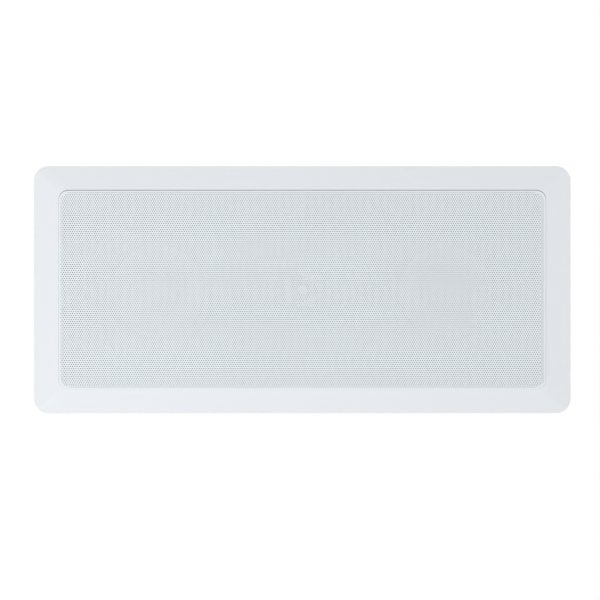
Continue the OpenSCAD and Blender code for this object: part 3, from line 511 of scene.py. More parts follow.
def rim_mesh():
    """The plain border round the holes, the bend and the turned rim, as one closed shell."""
    core_x = GRILLE_W / 2 - GRILLE_CORNER_R
    core_z = GRILLE_H / 2 - GRILLE_CORNER_R
    loop = border_loop()
    turns = sum(a[0] * b[1] - b[0] * a[1] for a, b in zip(loop, loop[1:] + loop[:1]))
    if turns < 0:
        loop.reverse()
    # Each point of the field's outline looks straight out to the edge, and never back along it
    feet = []
    for px, pz in loop:
        base = (max(-core_x, min(core_x, px)), max(-core_z, min(core_z, pz)))
        out = Vector((px - base[0], pz - base[1])).normalized()
        if feet:
            before = Vector(feet[-1][0]) + feet[-1][1] * GRILLE_CORNER_R
            here = Vector(base) + out * GRILLE_CORNER_R
            along = Vector((-feet[-1][1].y, feet[-1][1].x))
            if (here - before).dot(along) < 0:
                base, out = feet[-1]
        feet.append((base, out))
    inner_r = GRILLE_BEND_R - GRILLE_T
    section = [(GRILLE_BEND_R * (1 - math.sin(a)), GRILLE_BEND_R * (1 - math.cos(a)))
               for a in [math.radians(turn) for turn in (0, 4, 18, 36, 54, 72, 90)]]
    rim = GRILLE_RIM_Y - GRILLE_FRONT_Y
    section += [(0.0, rim - RIM_CHAMFER), (RIM_CHAMFER, rim)]
    section += [(GRILLE_T - RIM_CHAMFER, rim), (GRILLE_T, rim - RIM_CHAMFER)]
    section += [(GRILLE_BEND_R - inner_r * math.sin(a), GRILLE_BEND_R - inner_r * math.cos(a))
                for a in [math.radians(90 - 30 * k) for k in range(4)]]
    tray = bmesh.new()
    rings = [[tray.verts.new((px, GRILLE_FRONT_Y, pz)) for px, pz in loop]]
    for inset, depth in section:
        rings.append([
            tray.verts.new((base[0] + out.x * (GRILLE_CORNER_R - inset), GRILLE_FRONT_Y + depth,
                            base[1] + out.y * (GRILLE_CORNER_R - inset)))
            for base, out in feet])
    rings.append([tray.verts.new((px, GRILLE_FRONT_Y + GRILLE_T, pz)) for px, pz in loop])
    skin(tray, rings + rings[:1])
    bmesh.ops.remove_doubles(tray, verts=tray.verts, dist=0.001 * MM)
    return closed_mesh("grille_rim", tray, 50)


rim = moved(rim_mesh(), (0, 0, -GRILLE_DROP))
piece("grille_rim", rim, "frame", coat.material, ("grille",))


# Woofers: each has a stamped basket painted black, a silver-grey cone with a dark dust cap, a
# rubber surround and a woven spider, a copper coil on its former, and a motor of two zinc-plated
# plates round a ferrite ring. Six black screws hold the basket to the baffle.
WOOFER_X = 134.5 * MM
BASKET_FRONT_Y = 5.0 * MM
CONE_R = 42.0 * MM
CONE_DEPTH = 19.0 * MM
CONE_CURVE = 1.18
FORMER_R = 12.7 * MM
DUST_CAP_R = 24.25 * MM
DUST_CAP_H = 7.0 * MM
ROLL_IN_R = 44.5 * MM
ROLL_OUT_R = 55.0 * MM
SURROUND_T = 0.6 * MM
SURROUND_EDGE_R = 59.0 * MM
SPIDER_Y = 29.0 * MM
SPIDER_T = 0.5 * MM
SPIDER_WAVE = 1.2 * MM
SPIDER_WAVES = 5
SPIDER_ROLL_R = 35.5 * MM
SPIDER_EDGE_R = 42.2 * MM
SECTORS = 12
FORMER_END_Y = 37.4 * MM
WOOFER_STRIP_Y = 33.02 * MM
SIDES = {"left": -1, "right": 1}


def lathe(name, profile, centre, steps=96, part=None):
    """A closed profile of (radius, y) turned about the depth axis through centre, or part of a turn."""
    start, width = part or (0.0, math.tau)
    shell = bmesh.new()
    rings = []
    for k in range(steps if part is None else steps + 1):
        a = start + width * k / steps
        rings.append([shell.verts.new((centre[0] + r * math.cos(a), depth, centre[1] + r * math.sin(a)))
                      for r, depth in profile])
    skin(shell, rings + (rings[:1] if part is None else []))
    if part is not None:
        shell.faces.new(rings[0])
        shell.faces.new(rings[-1])
    bmesh.ops.remove_doubles(shell, verts=shell.verts, dist=0.5e-6)
    return closed_mesh(name, shell, 40)


def arc(cx, cy, r, start, end, steps):
    return [(cx + r * math.cos(math.radians(a)), cy + r * math.sin(math.radians(a)))
            for a in [start + (end - start) * k / steps for k in range(steps + 1)]]


def radial(finish, centre_x):
    """Distance of a point from the depth axis at centre_x on either side of the middle."""
    x, _, z = finish.xyz()
    off = x.math("ABSOLUTE") - centre_x
    return (off * off + z * z).math("SQRT")


def cone_y(r):
    share = (CONE_R - r) / (CONE_R - FORMER_R)
    return BASKET_FRONT_Y + CONE_DEPTH * (1 - (1 - share) ** CONE_CURVE)


basket_paint = Finish("basket_paint", (0.020, 0.020, 0.021), 0.42)
orange_peel = basket_paint.noise(1.1 * MM, 2)
basket_paint.set("Roughness", 0.34 + orange_peel * 0.2)
basket_paint.bump(orange_peel, 0.03 * MM, 0.5)

rubber = Finish("surround_rubber", (0.020, 0.020, 0.020), 0.62)
bloom = rubber.noise(7 * MM, 3)
rubber.vary(bloom, (0.016, 0.016, 0.016), (0.034, 0.034, 0.034), 0.5, 0.25)
rubber.bump(rubber.noise(0.5 * MM, 1), 0.01 * MM, 0.6)

CONE_SILVER = (0.28, 0.29, 0.31)
cone_film = Finish("cone_polypropylene", CONE_SILVER, 0.42, 0.25)
cone_r = radial(cone_film, WOOFER_X)
flecks = cone_film.noise(0.7 * MM, 1)
rings_mark = (cone_r * (math.tau / (1.3 * MM))).math("SINE")
cone_film.vary(flecks, CONE_SILVER, (0.36, 0.37, 0.39), 0.36, 0.18)
cone_film.bump(rings_mark * 0.5 + flecks * 0.6, 0.02 * MM, 0.7)

cap_film = Finish("dust_cap", (0.11, 0.113, 0.12), 0.34)
cap_fleck = cap_film.noise(0.9 * MM, 2)
cap_film.vary(cap_fleck, (0.090, 0.093, 0.10), (0.14, 0.143, 0.15), 0.28, 0.16)
cap_film.bump(cap_fleck, 0.01 * MM, 0.5)

# Copper winding on a brown former, split where the winding begins
coil = Finish("voice_coil", (0.60, 0.27, 0.12), 0.32, 0.9)
coil_y = coil.xyz()[1]
wound = coil_y > FORMER_END_Y
turns = (coil_y * (math.tau / (0.35 * MM))).math("SINE")
coil.set("Base Color", coil.mix(wound, (0.26, 0.13, 0.05), (0.60, 0.27, 0.12)))
coil.set("Metallic", wound * 0.9)
coil.bump(turns * wound, 0.05 * MM, 0.8)

# Woven cotton dipped in resin: threads cross in a square weave
cloth = Finish("spider_cloth", (0.42, 0.25, 0.07), 0.75)
cloth_x, _, cloth_z = cloth.xyz()
warp = (cloth_x * (math.tau / (0.7 * MM))).math("SINE")
weft = (cloth_z * (math.tau / (0.7 * MM))).math("SINE")
weave = warp * weft * 0.5 + 0.5
resin = weave * 0.6 + cloth.noise(6 * MM, 2) * 0.4
cloth.set("Base Color", cloth.mix(resin, (0.30, 0.17, 0.045), (0.52, 0.33, 0.11)))
cloth.bump(weave, 0.12 * MM, 0.7)

zinc = Finish("zinc_plate", (0.56, 0.57, 0.58), 0.34, 1.0)
spangle = zinc.noise(4.5 * MM, 3)
turning = zinc.noise(0.35 * MM, 2, (1, 6, 1))
zinc.vary(spangle, (0.50, 0.51, 0.53), (0.64, 0.63, 0.60), 0.26, 0.22)
zinc.bump(turning, 0.012 * MM, 0.5)

ferrite = Finish("ferrite", (0.045, 0.045, 0.048), 0.6)
grit = ferrite.noise(0.6 * MM, 3)
smear = ferrite.noise(14 * MM, 2)
ferrite.set("Base Color", ferrite.mix(grit * 0.6 + smear * 0.4, (0.026, 0.026, 0.028), (0.075, 0.075, 0.078)))
ferrite.set("Roughness", 0.5 + smear * 0.25)
ferrite.bump(grit, 0.05 * MM, 0.6)


def strip_and_lugs(name, strip_back_y, grain_scale):
    """Brown fibre in front of strip_back_y, tinned lugs behind it."""
    strip = Finish(name, (0.20, 0.09, 0.03), 0.7)
    tinned = strip.xyz()[1] > strip_back_y
    fibre = strip.mix(strip.noise(0.8 * MM, 2, grain_scale), (0.15, 0.065, 0.022), (0.27, 0.13, 0.05))
    strip.set("Base Color", strip.mix(tinned, fibre, (0.62, 0.60, 0.55)))
    strip.set("Metallic", tinned)
    strip.set("Roughness", 0.72 - tinned * 0.42)
    return strip


woofer_strip = strip_and_lugs("fibre_strip_and_lugs", WOOFER_STRIP_Y, (1, 1, 5))

black_screw = Finish("black_oxide_screw", (0.030, 0.030, 0.032), 0.38, 0.6)
oxide = black_screw.noise(1.2 * MM, 2)
black_screw.vary(oxide, (0.022, 0.022, 0.024), (0.048, 0.046, 0.045), 0.28, 0.25)

half_roll_r = (ROLL_OUT_R - ROLL_IN_R) / 2
roll_mid_r = (ROLL_OUT_R + ROLL_IN_R) / 2
lip_y = BASKET_FRONT_Y - SURROUND_T
surround_profile = [(CONE_R, lip_y), (ROLL_IN_R - 0.6 * MM, lip_y)]
surround_profile += arc(roll_mid_r, BASKET_FRONT_Y, half_roll_r, 187, 353, 14)
surround_profile += [
    (ROLL_OUT_R + 0.6 * MM, lip_y), (SURROUND_EDGE_R, lip_y), (SURROUND_EDGE_R, BASKET_FRONT_Y)]
surround_profile += arc(roll_mid_r, BASKET_FRONT_Y, half_roll_r - SURROUND_T, 360, 180, 14)
surround_profile += [(CONE_R, BASKET_FRONT_Y)]

spider_steps = 8 * SPIDER_WAVES
spider_radii = [FORMER_R + 1.5 * MM + (SPIDER_ROLL_R - FORMER_R - 1.5 * MM) * i / spider_steps
                for i in range(spider_steps + 1)]
spider_front = [SPIDER_Y - SPIDER_T + SPIDER_WAVE * math.sin(math.tau * SPIDER_WAVES * i / spider_steps)
                for i in range(spider_steps + 1)]
spider_profile = [(FORMER_R, SPIDER_Y - SPIDER_T)] + list(zip(spider_radii, spider_front))
spider_profile += [(SPIDER_EDGE_R, SPIDER_Y - SPIDER_T), (SPIDER_EDGE_R, SPIDER_Y)]
spider_profile += [(r, front + SPIDER_T) for r, front in reversed(list(zip(spider_radii, spider_front)))]
spider_profile += [(FORMER_R, SPIDER_Y)]

cone_rings = 24
cone_radii = [CONE_R + (FORMER_R - CONE_R) * i / cone_rings for i in range(cone_rings + 1)]
cone_profile = [(ROLL_IN_R, BASKET_FRONT_Y)] + [(r, cone_y(r)) for r in cone_radii]
cone_profile += [(r, cone_y(r) + 0.8 * MM) for r in reversed(cone_radii[1:])]
cone_profile += [(CONE_R, BASKET_FRONT_Y + 0.6 * MM), (ROLL_IN_R, BASKET_FRONT_Y + 0.6 * MM)]

cap_sphere_r = (DUST_CAP_R ** 2 + DUST_CAP_H ** 2) / (2 * DUST_CAP_H)
cap_rim_y = cone_y(DUST_CAP_R) - 0.55 * MM
cap_radii = [DUST_CAP_R * i / 16 for i in range(17)]
cap_front = [cap_rim_y - DUST_CAP_H + cap_sphere_r - math.sqrt(cap_sphere_r ** 2 - r * r) for r in cap_radii]
cap_profile = list(zip(cap_radii, cap_front))
cap_profile += [(DUST_CAP_R + 0.5 * MM, cap_rim_y + 0.1 * MM), (DUST_CAP_R, cap_rim_y + 0.5 * MM)]
cap_profile += [(r, front + 0.5 * MM) for r, front in reversed(cap_profile[:16])]


def flexible(name, profile, side, finish, node):
    """A ring that bends between the moving coil and the frame, made as separate sectors."""
    centre = (SIDES[side] * WOOFER_X, 0.0)
    width = math.tau / SECTORS
    for k in range(SECTORS):
        mesh = lathe(name, profile, centre, 8, (k * width, width))
        made = piece(f"{name}_{k + 1}", mesh, None, finish.material, (node,))
        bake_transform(made)


for side, sign in SIDES.items():
    woofer = "woofer_" + side
    moving = woofer + "_diaphragm"
    at = (sign * WOOFER_X, 0.0)
    broken_edges(woofer + "_basket", 0.25 * MM, "frame", basket_paint.material)
    flexible(woofer + "_surround", surround_profile, side,
             rubber, woofer + "_surround")
    flexible(woofer + "_spider", spider_profile, side,
             cloth, woofer + "_spider")
    piece(woofer + "_cone_film", lathe(woofer + "_cone_film", cone_profile, at, 128), moving,
          cone_film.material, (woofer + "_cone",))
    piece(woofer + "_cap_film", lathe(woofer + "_cap_film", cap_profile, at, 96), moving,
          cap_film.material, (woofer + "_dust_cap",))
    broken_edges(woofer + "_voice_coil", 0, moving, coil.material)
    for plate in ("_top_plate", "_back_plate"):
        broken_edges(woofer + plate, 0.4 * MM, "frame", zinc.material)
    broken_edges(woofer + "_magnet", 0.3 * MM, "frame", ferrite.material)
    broken_edges(woofer + "_terminals", 0.12 * MM, "frame", woofer_strip.material)
broken_edges("woofer_screws", 0.12 * MM, "frame", black_screw.material, sharp=40)


# Tweeter: a black moulded faceplate with a triangular guard, in front of a dome and suspension
# formed from one light film. Behind it a small nickel-plated magnet sits in a steel cup.
faceplate = Finish("faceplate_abs", (0.022, 0.022, 0.023), 0.5)
spark = faceplate.noise(0.35 * MM, 2)
faceplate.set("Roughness", 0.42 + spark * 0.2)
faceplate.bump(spark, 0.02 * MM, 0.6)

DOME_SILVER = (0.60, 0.61, 0.62)
dome_film = Finish("dome_film", DOME_SILVER, 0.34, 0.35)
dome_mottle = dome_film.noise(1.5 * MM, 2)
dome_film.vary(dome_mottle, DOME_SILVER, (0.70, 0.71, 0.72), 0.28, 0.15)
dome_film.bump(dome_film.noise(0.3 * MM, 1), 0.005 * MM, 0.5)

nickel = Finish("nickel_plate", (0.62, 0.60, 0.56), 0.22, 1.0)
nickel_mottle = nickel.noise(3 * MM, 2)
nickel.set("Roughness", 0.16 + nickel_mottle * 0.18)

cup_steel = Finish("cup_steel", (0.08, 0.08, 0.085), 0.42, 0.7)
cup_mottle = cup_steel.noise(2.2 * MM, 3)
cup_steel.vary(cup_mottle, (0.055, 0.055, 0.06), (0.11, 0.11, 0.115), 0.32, 0.2)

TWEETER_STRIP_Y = 22.62 * MM
tweeter_strip = strip_and_lugs("tweeter_strip_and_lugs", TWEETER_STRIP_Y, (5, 1, 1))

for node, edge, slot, finish in (
        ("tweeter_faceplate", 0.25, "faceplate", faceplate), ("tweeter_dome", 0, "dome_metal", dome_film),
        ("tweeter_voice_coil", 0, "coil_wire", coil), ("tweeter_pole_plate", 0.15, "zinc_plate", zinc),
        ("tweeter_magnet", 0.3, "nickel_magnet", nickel), ("tweeter_cup", 0.3, "ferrite", cup_steel),
        ("tweeter_terminals", 0.12, "lug_metal", tweeter_strip),
        ("tweeter_screws", 0.1, "black_screw", black_screw)):
    broken_edges(node, edge * MM, "frame", finish.material, sharp=40)


# Crossover: a green circuit board on four posts, with copper tracks under its mask, two wound
# coils, two film capacitors and a cement resistor, each on wire legs, and four screws.
BOARD_BACK_Y = 37.6 * MM
BOARD_FRONT_Y = 36.0 * MM
BOARD_SKIN = 0.15 * MM
COILS = {
    "woofer_inductor": ((-28.0 * MM, 21.0 * MM), 17.0 * MM, 8.0 * MM, 14.0 * MM, 1.1 * MM),
    "tweeter_inductor": ((28.0 * MM, 24.0 * MM), 13.0 * MM, 6.0 * MM, 12.0 * MM, 0.9 * MM)}
CAPACITORS = {
    "woofer_capacitor": ((-112 / 3 * MM, -14.0 * MM), 7.0 * MM, 26.0 * MM),
    "tweeter_capacitor": ((112 / 3 * MM, -10.5 * MM), 5.5 * MM, 22.0 * MM)}
CHEEK_T = 1.0 * MM
LEG_DEPTH = 0.5 * MM
RESISTOR_AXIS_Z = -5.0 * MM

mask_green = (0.020, 0.115, 0.048)
board = Finish("circuit_board", mask_green, 0.3)
board_y = board.xyz()[1]
masked_faces = (board_y > BOARD_BACK_Y - BOARD_SKIN) + (board_y < BOARD_FRONT_Y + BOARD_SKIN)
glass = board.noise(0.9 * MM, 2, (1, 1, 4))
board_coat = board.mix(glass, mask_green, (0.026, 0.14, 0.06))
board.set("Base Color", board.mix(masked_faces, (0.30, 0.27, 0.13), board_coat))
board.set("Roughness", 0.26 + glass * 0.12)
board.bump(glass, 0.02 * MM, 0.4)

track_green = Finish("track_under_mask", (0.045, 0.20, 0.085), 0.26)
track_mottle = track_green.noise(2 * MM, 2)
track_green.vary(track_mottle, (0.040, 0.18, 0.075), (0.055, 0.23, 0.10), 0.2, 0.12)

solder = Finish("solder", (0.58, 0.58, 0.57), 0.3, 1.0)
solder_mottle = solder.noise(0.8 * MM, 2)
solder.set("Roughness", 0.2 + solder_mottle * 0.25)
solder.bump(solder_mottle, 0.05 * MM, 0.5)

bobbin = Finish("bobbin_nylon", (0.70, 0.68, 0.62), 0.5)
bobbin_mottle = bobbin.noise(3 * MM, 2)
bobbin.vary(bobbin_mottle, (0.66, 0.64, 0.58), (0.76, 0.74, 0.69), 0.42, 0.15)

wire = Finish("enamelled_wire", (0.50, 0.17, 0.06), 0.26, 0.85)
enamel = wire.noise(3 * MM, 2)
wire.vary(enamel, (0.42, 0.13, 0.045), (0.62, 0.25, 0.10), 0.2, 0.15)

film_wrap = Finish("capacitor_wrap", (0.72, 0.42, 0.05), 0.3)
wrap_z = film_wrap.xyz()[2]
wrap_mottle = film_wrap.noise(9 * MM, 2)
film_wrap.vary(wrap_mottle, (0.66, 0.37, 0.04), (0.78, 0.48, 0.07), 0.22, 0.16)
film_wrap.bump((wrap_z * (math.tau / (2.4 * MM))).math("SINE"), 0.02 * MM, 0.3)

cement = Finish("resistor_cement", (0.74, 0.73, 0.68), 0.8)
pits = cement.noise(0.5 * MM, 3)
cement.set("Base Color", cement.mix(pits, (0.66, 0.65, 0.60), (0.80, 0.79, 0.75)))
cement.bump(pits, 0.08 * MM, 0.7)

zinc_screw = Finish("zinc_screw", (0.60, 0.60, 0.58), 0.3, 1.0)
screw_mottle = zinc_screw.noise(1.6 * MM, 2)
zinc_screw.vary(screw_mottle, (0.54, 0.54, 0.54), (0.66, 0.64, 0.58), 0.22, 0.2)

# Winding: turns of wire side by side along the bobbin
winding, winding_inputs = node_tree(
    "coil_winding", coil_radius=15.0 * MM, wire_radius=0.55 * MM, turn_pitch=1.1 * MM, turn_count=10.0)
step = Steps(winding)
given = winding.nodes.new("NodeGroupInput").outputs
loop_curve = step("GeometryNodeCurvePrimitiveCircle", values={
    "Resolution": 72, "Radius": given["coil_radius"]})
wire_section = step("GeometryNodeCurvePrimitiveCircle", values={
    "Resolution": 8, "Radius": given["wire_radius"]})
one_turn = step("GeometryNodeCurveToMesh", values={"Curve": loop_curve, "Profile Curve": wire_section})
turn_gap = step("ShaderNodeCombineXYZ", values={2: given["turn_pitch"]})
turn_line = step("GeometryNodeMeshLine", values={"Count": given["turn_count"], "Offset": turn_gap})
all_turns = step("GeometryNodeInstanceOnPoints", values={"Points": turn_line, "Instance": one_turn})
laid = step("GeometryNodeTransform", values={0: all_turns, "Rotation": (math.radians(-90), 0, 0)})
smooth_wire = step("GeometryNodeSetShadeSmooth", values={
    0: step("GeometryNodeRealizeInstances", values={0: laid})})
step.end(smooth_wire, wire.material)


def tube(name, route, r, sides=10, steps=6):
    """A closed tube of radius r along the smooth curve through the route's points."""
    path = []
    for i in range(len(route) - 1):
        a, b = Vector(route[max(i - 1, 0)]), Vector(route[i])
        c, d = Vector(route[i + 1]), Vector(route[min(i + 2, len(route) - 1)])
        for k in range(steps):
            t = k / steps
            path.append(0.5 * (2 * b + (c - a) * t + (2 * a - 5 * b + 4 * c - d) * t * t
                               + (3 * b - 3 * c + d - a) * t * t * t))
    path.append(Vector(route[-1]))
    tangents = [(ahead - behind).normalized()
                for behind, ahead in zip(path[:1] + path, path[1:] + path[-1:])]
    shell = bmesh.new()
    across = tangents[0].orthogonal().normalized()
    rings = []
    for point, along in zip(path, tangents):
        across = (across - along * across.dot(along)).normalized()
        up = along.cross(across)
        rings.append([shell.verts.new(point + r * (math.cos(a) * across + math.sin(a) * up))
                      for a in [math.tau * k / sides for k in range(sides)]])
    skin(shell, rings)
    shell.faces.new(rings[0])
    shell.faces.new(rings[-1])
    return closed_mesh(name, shell, 50)


for name, ((cx, cz), outer_r, bore_r, height, wire_d) in COILS.items():
    top = BOARD_BACK_Y + height
    core_r = outer_r - 1.2 * MM - wire_d
    bobbin_profile = [
        (bore_r, BOARD_BACK_Y), (outer_r - 0.2 * MM, BOARD_BACK_Y), (outer_r, BOARD_BACK_Y + 0.2 * MM),
        (outer_r, BOARD_BACK_Y + CHEEK_T - 0.2 * MM), (outer_r - 0.2 * MM, BOARD_BACK_Y + CHEEK_T),
        (core_r, BOARD_BACK_Y + CHEEK_T), (core_r, top - CHEEK_T), (outer_r - 0.2 * MM, top - CHEEK_T),
        (outer_r, top - CHEEK_T + 0.2 * MM), (outer_r, top - 0.2 * MM), (outer_r - 0.2 * MM, top),
        (bore_r + 0.3 * MM, top), (bore_r, top - 0.3 * MM)]
    piece(name + "_bobbin", lathe(name + "_bobbin", bobbin_profile, (cx, cz), 96), "frame",
          bobbin.material, (name,))
    count = int((height - 2 * CHEEK_T) / wire_d)
    wound_mesh = grown(name + "_winding", [(0, 0, 0)], winding, winding_inputs, {
        "coil_radius": core_r + wire_d / 2, "wire_radius": wire_d / 2,
        "turn_pitch": (height - 2 * CHEEK_T) / count, "turn_count": float(count)})
    moved(wound_mesh, (cx, BOARD_BACK_Y + CHEEK_T + wire_d / 2, cz))
    piece(name + "_winding", wound_mesh, "frame", wire.material)
    for side, sign in SIDES.items():
        leg = tube(f"{name}_leg_{side}", [
            (cx + sign * 3 * MM, top - 2 * MM, cz - core_r),
            (cx + sign * 3.2 * MM, top - 4 * MM, cz - outer_r - 1 * MM),
            (cx + sign * 3.5 * MM, BOARD_BACK_Y + 3 * MM, cz - outer_r - 1.6 * MM),
            (cx + sign * 3.5 * MM, BOARD_BACK_Y - LEG_DEPTH, cz - outer_r - 1.6 * MM)], wire_d / 2, 8)
        piece(f"{name}_leg_{side}", leg, "frame", wire.material)

for name, ((cx, cz), r, length) in CAPACITORS.items():
    broken_edges(name, 0.25 * MM, "frame", film_wrap.material)
    for end, side in (("low", -1), ("high", 1)):
        edge_z = cz + side * length / 2
        leg = tube(f"{name}_leg_{end}", [
            (cx, BOARD_BACK_Y + r, edge_z - side * 1 * MM), (cx, BOARD_BACK_Y + r, edge_z + side * 1.2 * MM),
            (cx, BOARD_BACK_Y + r - 1.4 * MM, edge_z + side * 2.2 * MM),
            (cx, BOARD_BACK_Y + 1 * MM, edge_z + side * 2.2 * MM),
            (cx, BOARD_BACK_Y - LEG_DEPTH, edge_z + side * 2.2 * MM)], 0.45 * MM, 8)
        piece(f"{name}_leg_{end}", leg, "frame", solder.material)

broken_edges("resistor", 0.5 * MM, "frame", cement.material)
for end, side, start_x in (("left", -1, -8.0), ("right", 1, 14.0)):
    leg = tube("resistor_leg_" + end, [
        ((start_x + side * off) * MM, BOARD_BACK_Y + above, RESISTOR_AXIS_Z)
        for off, above in ((-1.0, 4 * MM), (1.2, 4 * MM), (2.2, 2.6 * MM), (2.2, -LEG_DEPTH))], 0.4 * MM, 8)
    piece("resistor_leg_" + end, leg, "frame", solder.material)
broken_edges("crossover_board", 0.12 * MM, "frame", board.material)
broken_edges("board_screws", 0.12 * MM, "frame", zinc_screw.material, sharp=40)

TRACKS = [
    [(-51, 6), (-43, 6), (-43, 18), (-31.5, 2.4)], [(-24.5, 2.4), (-19, -3), (-10.2, -5)],
    [(51, 6), (45, 6), (45, 12), (31.5, 9.4)], [(24.5, 9.4), (18, 4), (16.2, -5)],
    [(-37.3, 1.2), (-37.3, 8), (-51, -6)], [(-37.3, -29.2), (-37.3, -36), (-11, -36)],
    [(37.3, 2.7), (42, 0), (51, -6)], [(37.3, -23.7), (37.3, -36), (11, -36)],
    [(-8, 3), (-8, 36), (10, 36), (10, 20)]]
TRACK_W = 2.2
TRACK_T = 0.09 * MM


def track_mesh():
    """Flat raised strips along the tracks, mitred where they turn."""
    strips = bmesh.new()
    for points in TRACKS:
        points = [Vector(p) for p in points]
        left, right = [], []
        for i, point in enumerate(points):
            ahead = (points[i + 1] - point).normalized() if i + 1 < len(points) else None
            behind = (point - points[i - 1]).normalized() if i else None
            along = ((ahead or behind) + (behind or ahead)).normalized()
            normal = Vector((-along.y, along.x))
            reach = TRACK_W / 2 / max(0.5, normal.dot(Vector((-(ahead or behind).y, (ahead or behind).x))))
            left.append(point + normal * reach)
            right.append(point - normal * reach)
        levels = []
        for level in (BOARD_BACK_Y - WELD, BOARD_BACK_Y + TRACK_T):
            levels.append([strips.verts.new((p.x * MM, level, p.y * MM)) for p in left + right[::-1]])
        low, high = levels
        count = len(points)
        for i in range(count - 1):
            j, k, m = i + 1, 2 * count - 2 - i, 2 * count - 1 - i
            strips.faces.new((high[i], high[j], high[k], high[m]))
            strips.faces.new((low[m], low[k], low[j], low[i]))
        for i in range(2 * count):
            j = (i + 1) % (2 * count)
            strips.faces.new((low[i], low[j], high[j], high[i]))
    return closed_mesh("board_tracks", strips)


piece("board_tracks", track_mesh(), "frame", track_green.material)

# Solder joints: a low cone of solder round every leg and lead
JOINT_SIZES = {"foot": 1.5 * MM, "tip": 0.55 * MM, "height": 0.9 * MM}
joints_tree, joints_inputs = node_tree("solder_joints", **JOINT_SIZES)
step = Steps(joints_tree)
given = joints_tree.nodes.new("NodeGroupInput").outputs
bead = step("GeometryNodeMeshCone", values={
    "Vertices": 16, "Side Segments": 3, "Radius Bottom": given["foot"], "Radius Top": given["tip"],
    "Depth": given["height"]})
stood = step("GeometryNodeTransform", values={0: bead, "Rotation": (math.radians(-90), 0, 0)})
soldered = step("GeometryNodeInstanceOnPoints", values={
    "Points": step("GeometryNodeMeshToPoints", values={0: given["Geometry"]}), "Instance": stood})
smooth_beads = step("GeometryNodeSetShadeSmooth", values={
    0: step("GeometryNodeRealizeInstances", values={0: soldered})})
step.end(smooth_beads, solder.material)
joint_places = [(-31.5, 2.4), (-24.5, 2.4), (24.5, 9.4), (31.5, 9.4), (-37.3, 1.2), (-37.3, -29.2),
                (37.3, 2.7), (37.3, -23.7), (-10.2, -5), (16.2, -5)]
joint_places += [(sx * 51, sz * 6) for sx in (-1, 1) for sz in (-1, 1)]
joint_places = [(px * MM, BOARD_BACK_Y - WELD, pz * MM) for px, pz in joint_places]
joints_mesh = grown("solder_joints", joint_places, joints_tree, joints_inputs, JOINT_SIZES)
piece("solder_joints", joints_mesh, "frame", solder.material)


# Terminal: a black moulded block with a red and a black push tab, each over a leaf spring, above
# two ports for bare wire. It is clipped to the board.
terminal_black = Finish("terminal_abs", (0.024, 0.024, 0.026), 0.42)
terminal_grain = terminal_black.noise(0.5 * MM, 2)
terminal_black.set("Roughness", 0.34 + terminal_grain * 0.2)
terminal_black.bump(terminal_grain, 0.02 * MM, 0.6)
tab_red = Finish("tab_red", (0.48, 0.022, 0.020), 0.36)
tab_grain = tab_red.noise(0.8 * MM, 2)
tab_red.vary(tab_grain, (0.44, 0.018, 0.016), (0.54, 0.030, 0.026), 0.28, 0.16)
spring_steel = Finish("spring_steel", (0.55, 0.54, 0.52), 0.3, 1.0)
spring_grain = spring_steel.noise(0.9 * MM, 2, (6, 1, 1))
spring_steel.set("Roughness", 0.2 + spring_grain * 0.2)

broken_edges("terminal_housing", 0.3 * MM, "frame", terminal_black.material)
broken_edges("red_tab", 0.2 * MM, "red_tab", tab_red.material)
broken_edges("black_tab", 0.2 * MM, "black_tab", terminal_black.material)
for colour in ("red", "black"):
    leaf = broken_edges(colour + "_tab_spring", 0, None, spring_steel.material)
    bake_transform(leaf)


# Leads: stranded wire in soft red and black sleeves, from pads on the board to the lugs of the
# tweeter and of each woofer.
LEAD_R = 1.0 * MM
PAD_X = 51.0
BOARD_Y = BOARD_BACK_Y / MM
LUG_X = 77.5
LUG_Y = 33.4
REACH = LUG_X - PAD_X
SLEEVES = {"red": ((0.42, 0.020, 0.018), (0.50, 0.030, 0.026)),
           "black": ((0.020, 0.020, 0.021), (0.034, 0.034, 0.036))}


def lead(name, route, sign, sleeve, node):
    """A sleeved wire along a route in millimetres, mirrored when sign is negative."""
    mesh = tube(name, [(sign * px * MM, py * MM, pz * MM) for px, py, pz in route], LEAD_R, 12, 8)
    piece(name, mesh, "frame", sleeve.material, (node,))


wires = []
for (colour, (dark, light)), up in zip(SLEEVES.items(), (1, -1)):
    sleeve = Finish("sleeve_" + colour, dark, 0.48)
    sleeve.vary(sleeve.noise(2 * MM, 2), dark, light, 0.38, 0.2)
    wires.append((colour, up, sleeve))

for side, sign in SIDES.items():
    for colour, up, sleeve in wires:
        lead(f"woofer_{side}_lead_{colour}", [
            (PAD_X, BOARD_Y, 6 * up), (PAD_X, BOARD_Y + 4, 6 * up),
            (PAD_X + 0.19 * REACH, BOARD_Y + 8, 6 * up), (PAD_X + 0.45 * REACH, BOARD_Y + 5, 5 * up),
            (PAD_X + 0.64 * REACH, LUG_Y + 3, 4 * up), (LUG_X - 0.15 * REACH, LUG_Y, 4 * up),
            (LUG_X, LUG_Y, 4 * up)], sign, sleeve, f"woofer_{side}_leads")
for colour, up, sleeve in wires:
    lead("tweeter_lead_" + colour, [
        (16, 36, 0), (16, 33, 0), (12, 31, 0), (7.04, 31, 0), (5, 28.6, 0), (5, 26.6, 0)],
        up, sleeve, "tweeter_leads")


# Clamps: six glass-filled nylon arms on long blackened steel screws. Turning a screw swings its arm
# out past the skirt and draws it against the back of the wallboard.
SCREW_TOP_Y = 4.0 * MM
SCREW_END_Y = 54.0 * MM
THREAD_R = 2.0 * MM
THREAD_CORE_R = 1.66 * MM
THREAD_PITCH = 1.5 * MM
THREAD_START_Y = 12.5 * MM
THREAD_END_Y = SCREW_END_Y - 2.5 * MM
CLAMP_X = 198.0 * MM
CLAMP_Z = 80.0 * MM

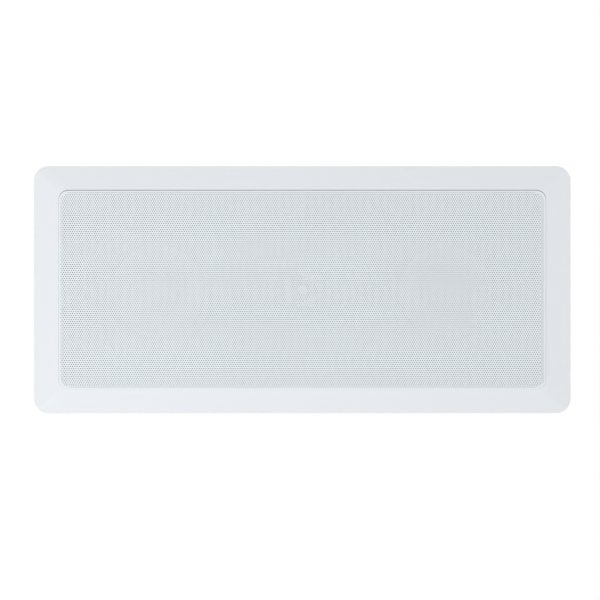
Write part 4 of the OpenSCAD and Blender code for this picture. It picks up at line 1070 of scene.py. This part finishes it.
nylon = Finish("clamp_nylon", (0.030, 0.030, 0.032), 0.5)
fibres = nylon.noise(1.0 * MM, 3, (1, 1, 3))
nylon.vary(fibres, (0.022, 0.022, 0.024), (0.050, 0.050, 0.053), 0.42, 0.22)
nylon.bump(fibres, 0.03 * MM, 0.6)

THREAD_SIZES = {"core": THREAD_CORE_R, "crest": THREAD_R, "pitch": THREAD_PITCH,
                "turns": (THREAD_END_Y - THREAD_START_Y) / THREAD_PITCH}
thread, thread_inputs = node_tree("screw_thread", **THREAD_SIZES)
step = Steps(thread)
given = thread.nodes.new("NodeGroupInput").outputs
length = arithmetic("MULTIPLY", given["pitch"], given["turns"])
helix = step("GeometryNodeCurveSpiral", values={
    "Resolution": 24, "Rotations": given["turns"], "Start Radius": given["core"],
    "End Radius": given["core"], "Height": length})
ridge = arithmetic("SUBTRACT", given["crest"], given["core"])
profile = step("GeometryNodeCurvePrimitiveCircle", values={"Resolution": 4, "Radius": ridge})
swept = step("GeometryNodeCurveToMesh", values={
    "Curve": helix, "Profile Curve": profile, "Fill Caps": True})
pointed = step("GeometryNodeTransform", values={0: swept, "Rotation": (math.radians(-90), 0, 0)})
step.end(pointed, black_screw.material)

for row, up in (("top", 1), ("bottom", -1)):
    for column, across in (("left", -1), ("middle", 0), ("right", 1)):
        place = f"{row}_{column}"
        broken_edges("clamp_" + place, 0.3 * MM, "clamp_" + place, nylon.material)
        shank = broken_edges(
            "clamp_screw_" + place, 0.1 * MM, "screw_" + place, black_screw.material, sharp=40)
        at = Vector((across * CLAMP_X, 0, up * CLAMP_Z))
        for vertex in shank.data.vertices:
            off = vertex.co - at
            r = math.hypot(off.x, off.z)
            if vertex.co.y > SCREW_TOP_Y + 1 * MM and r > THREAD_CORE_R:
                vertex.co.x = at.x + off.x * THREAD_CORE_R / r
                vertex.co.z = at.z + off.z * THREAD_CORE_R / r
        thread_mesh = grown("clamp_thread_" + place, [(0, 0, 0)], thread, thread_inputs, THREAD_SIZES)
        moved(thread_mesh, (at.x, THREAD_START_Y, at.z))
        piece("clamp_thread_" + place, thread_mesh, "screw_" + place, black_screw.material)
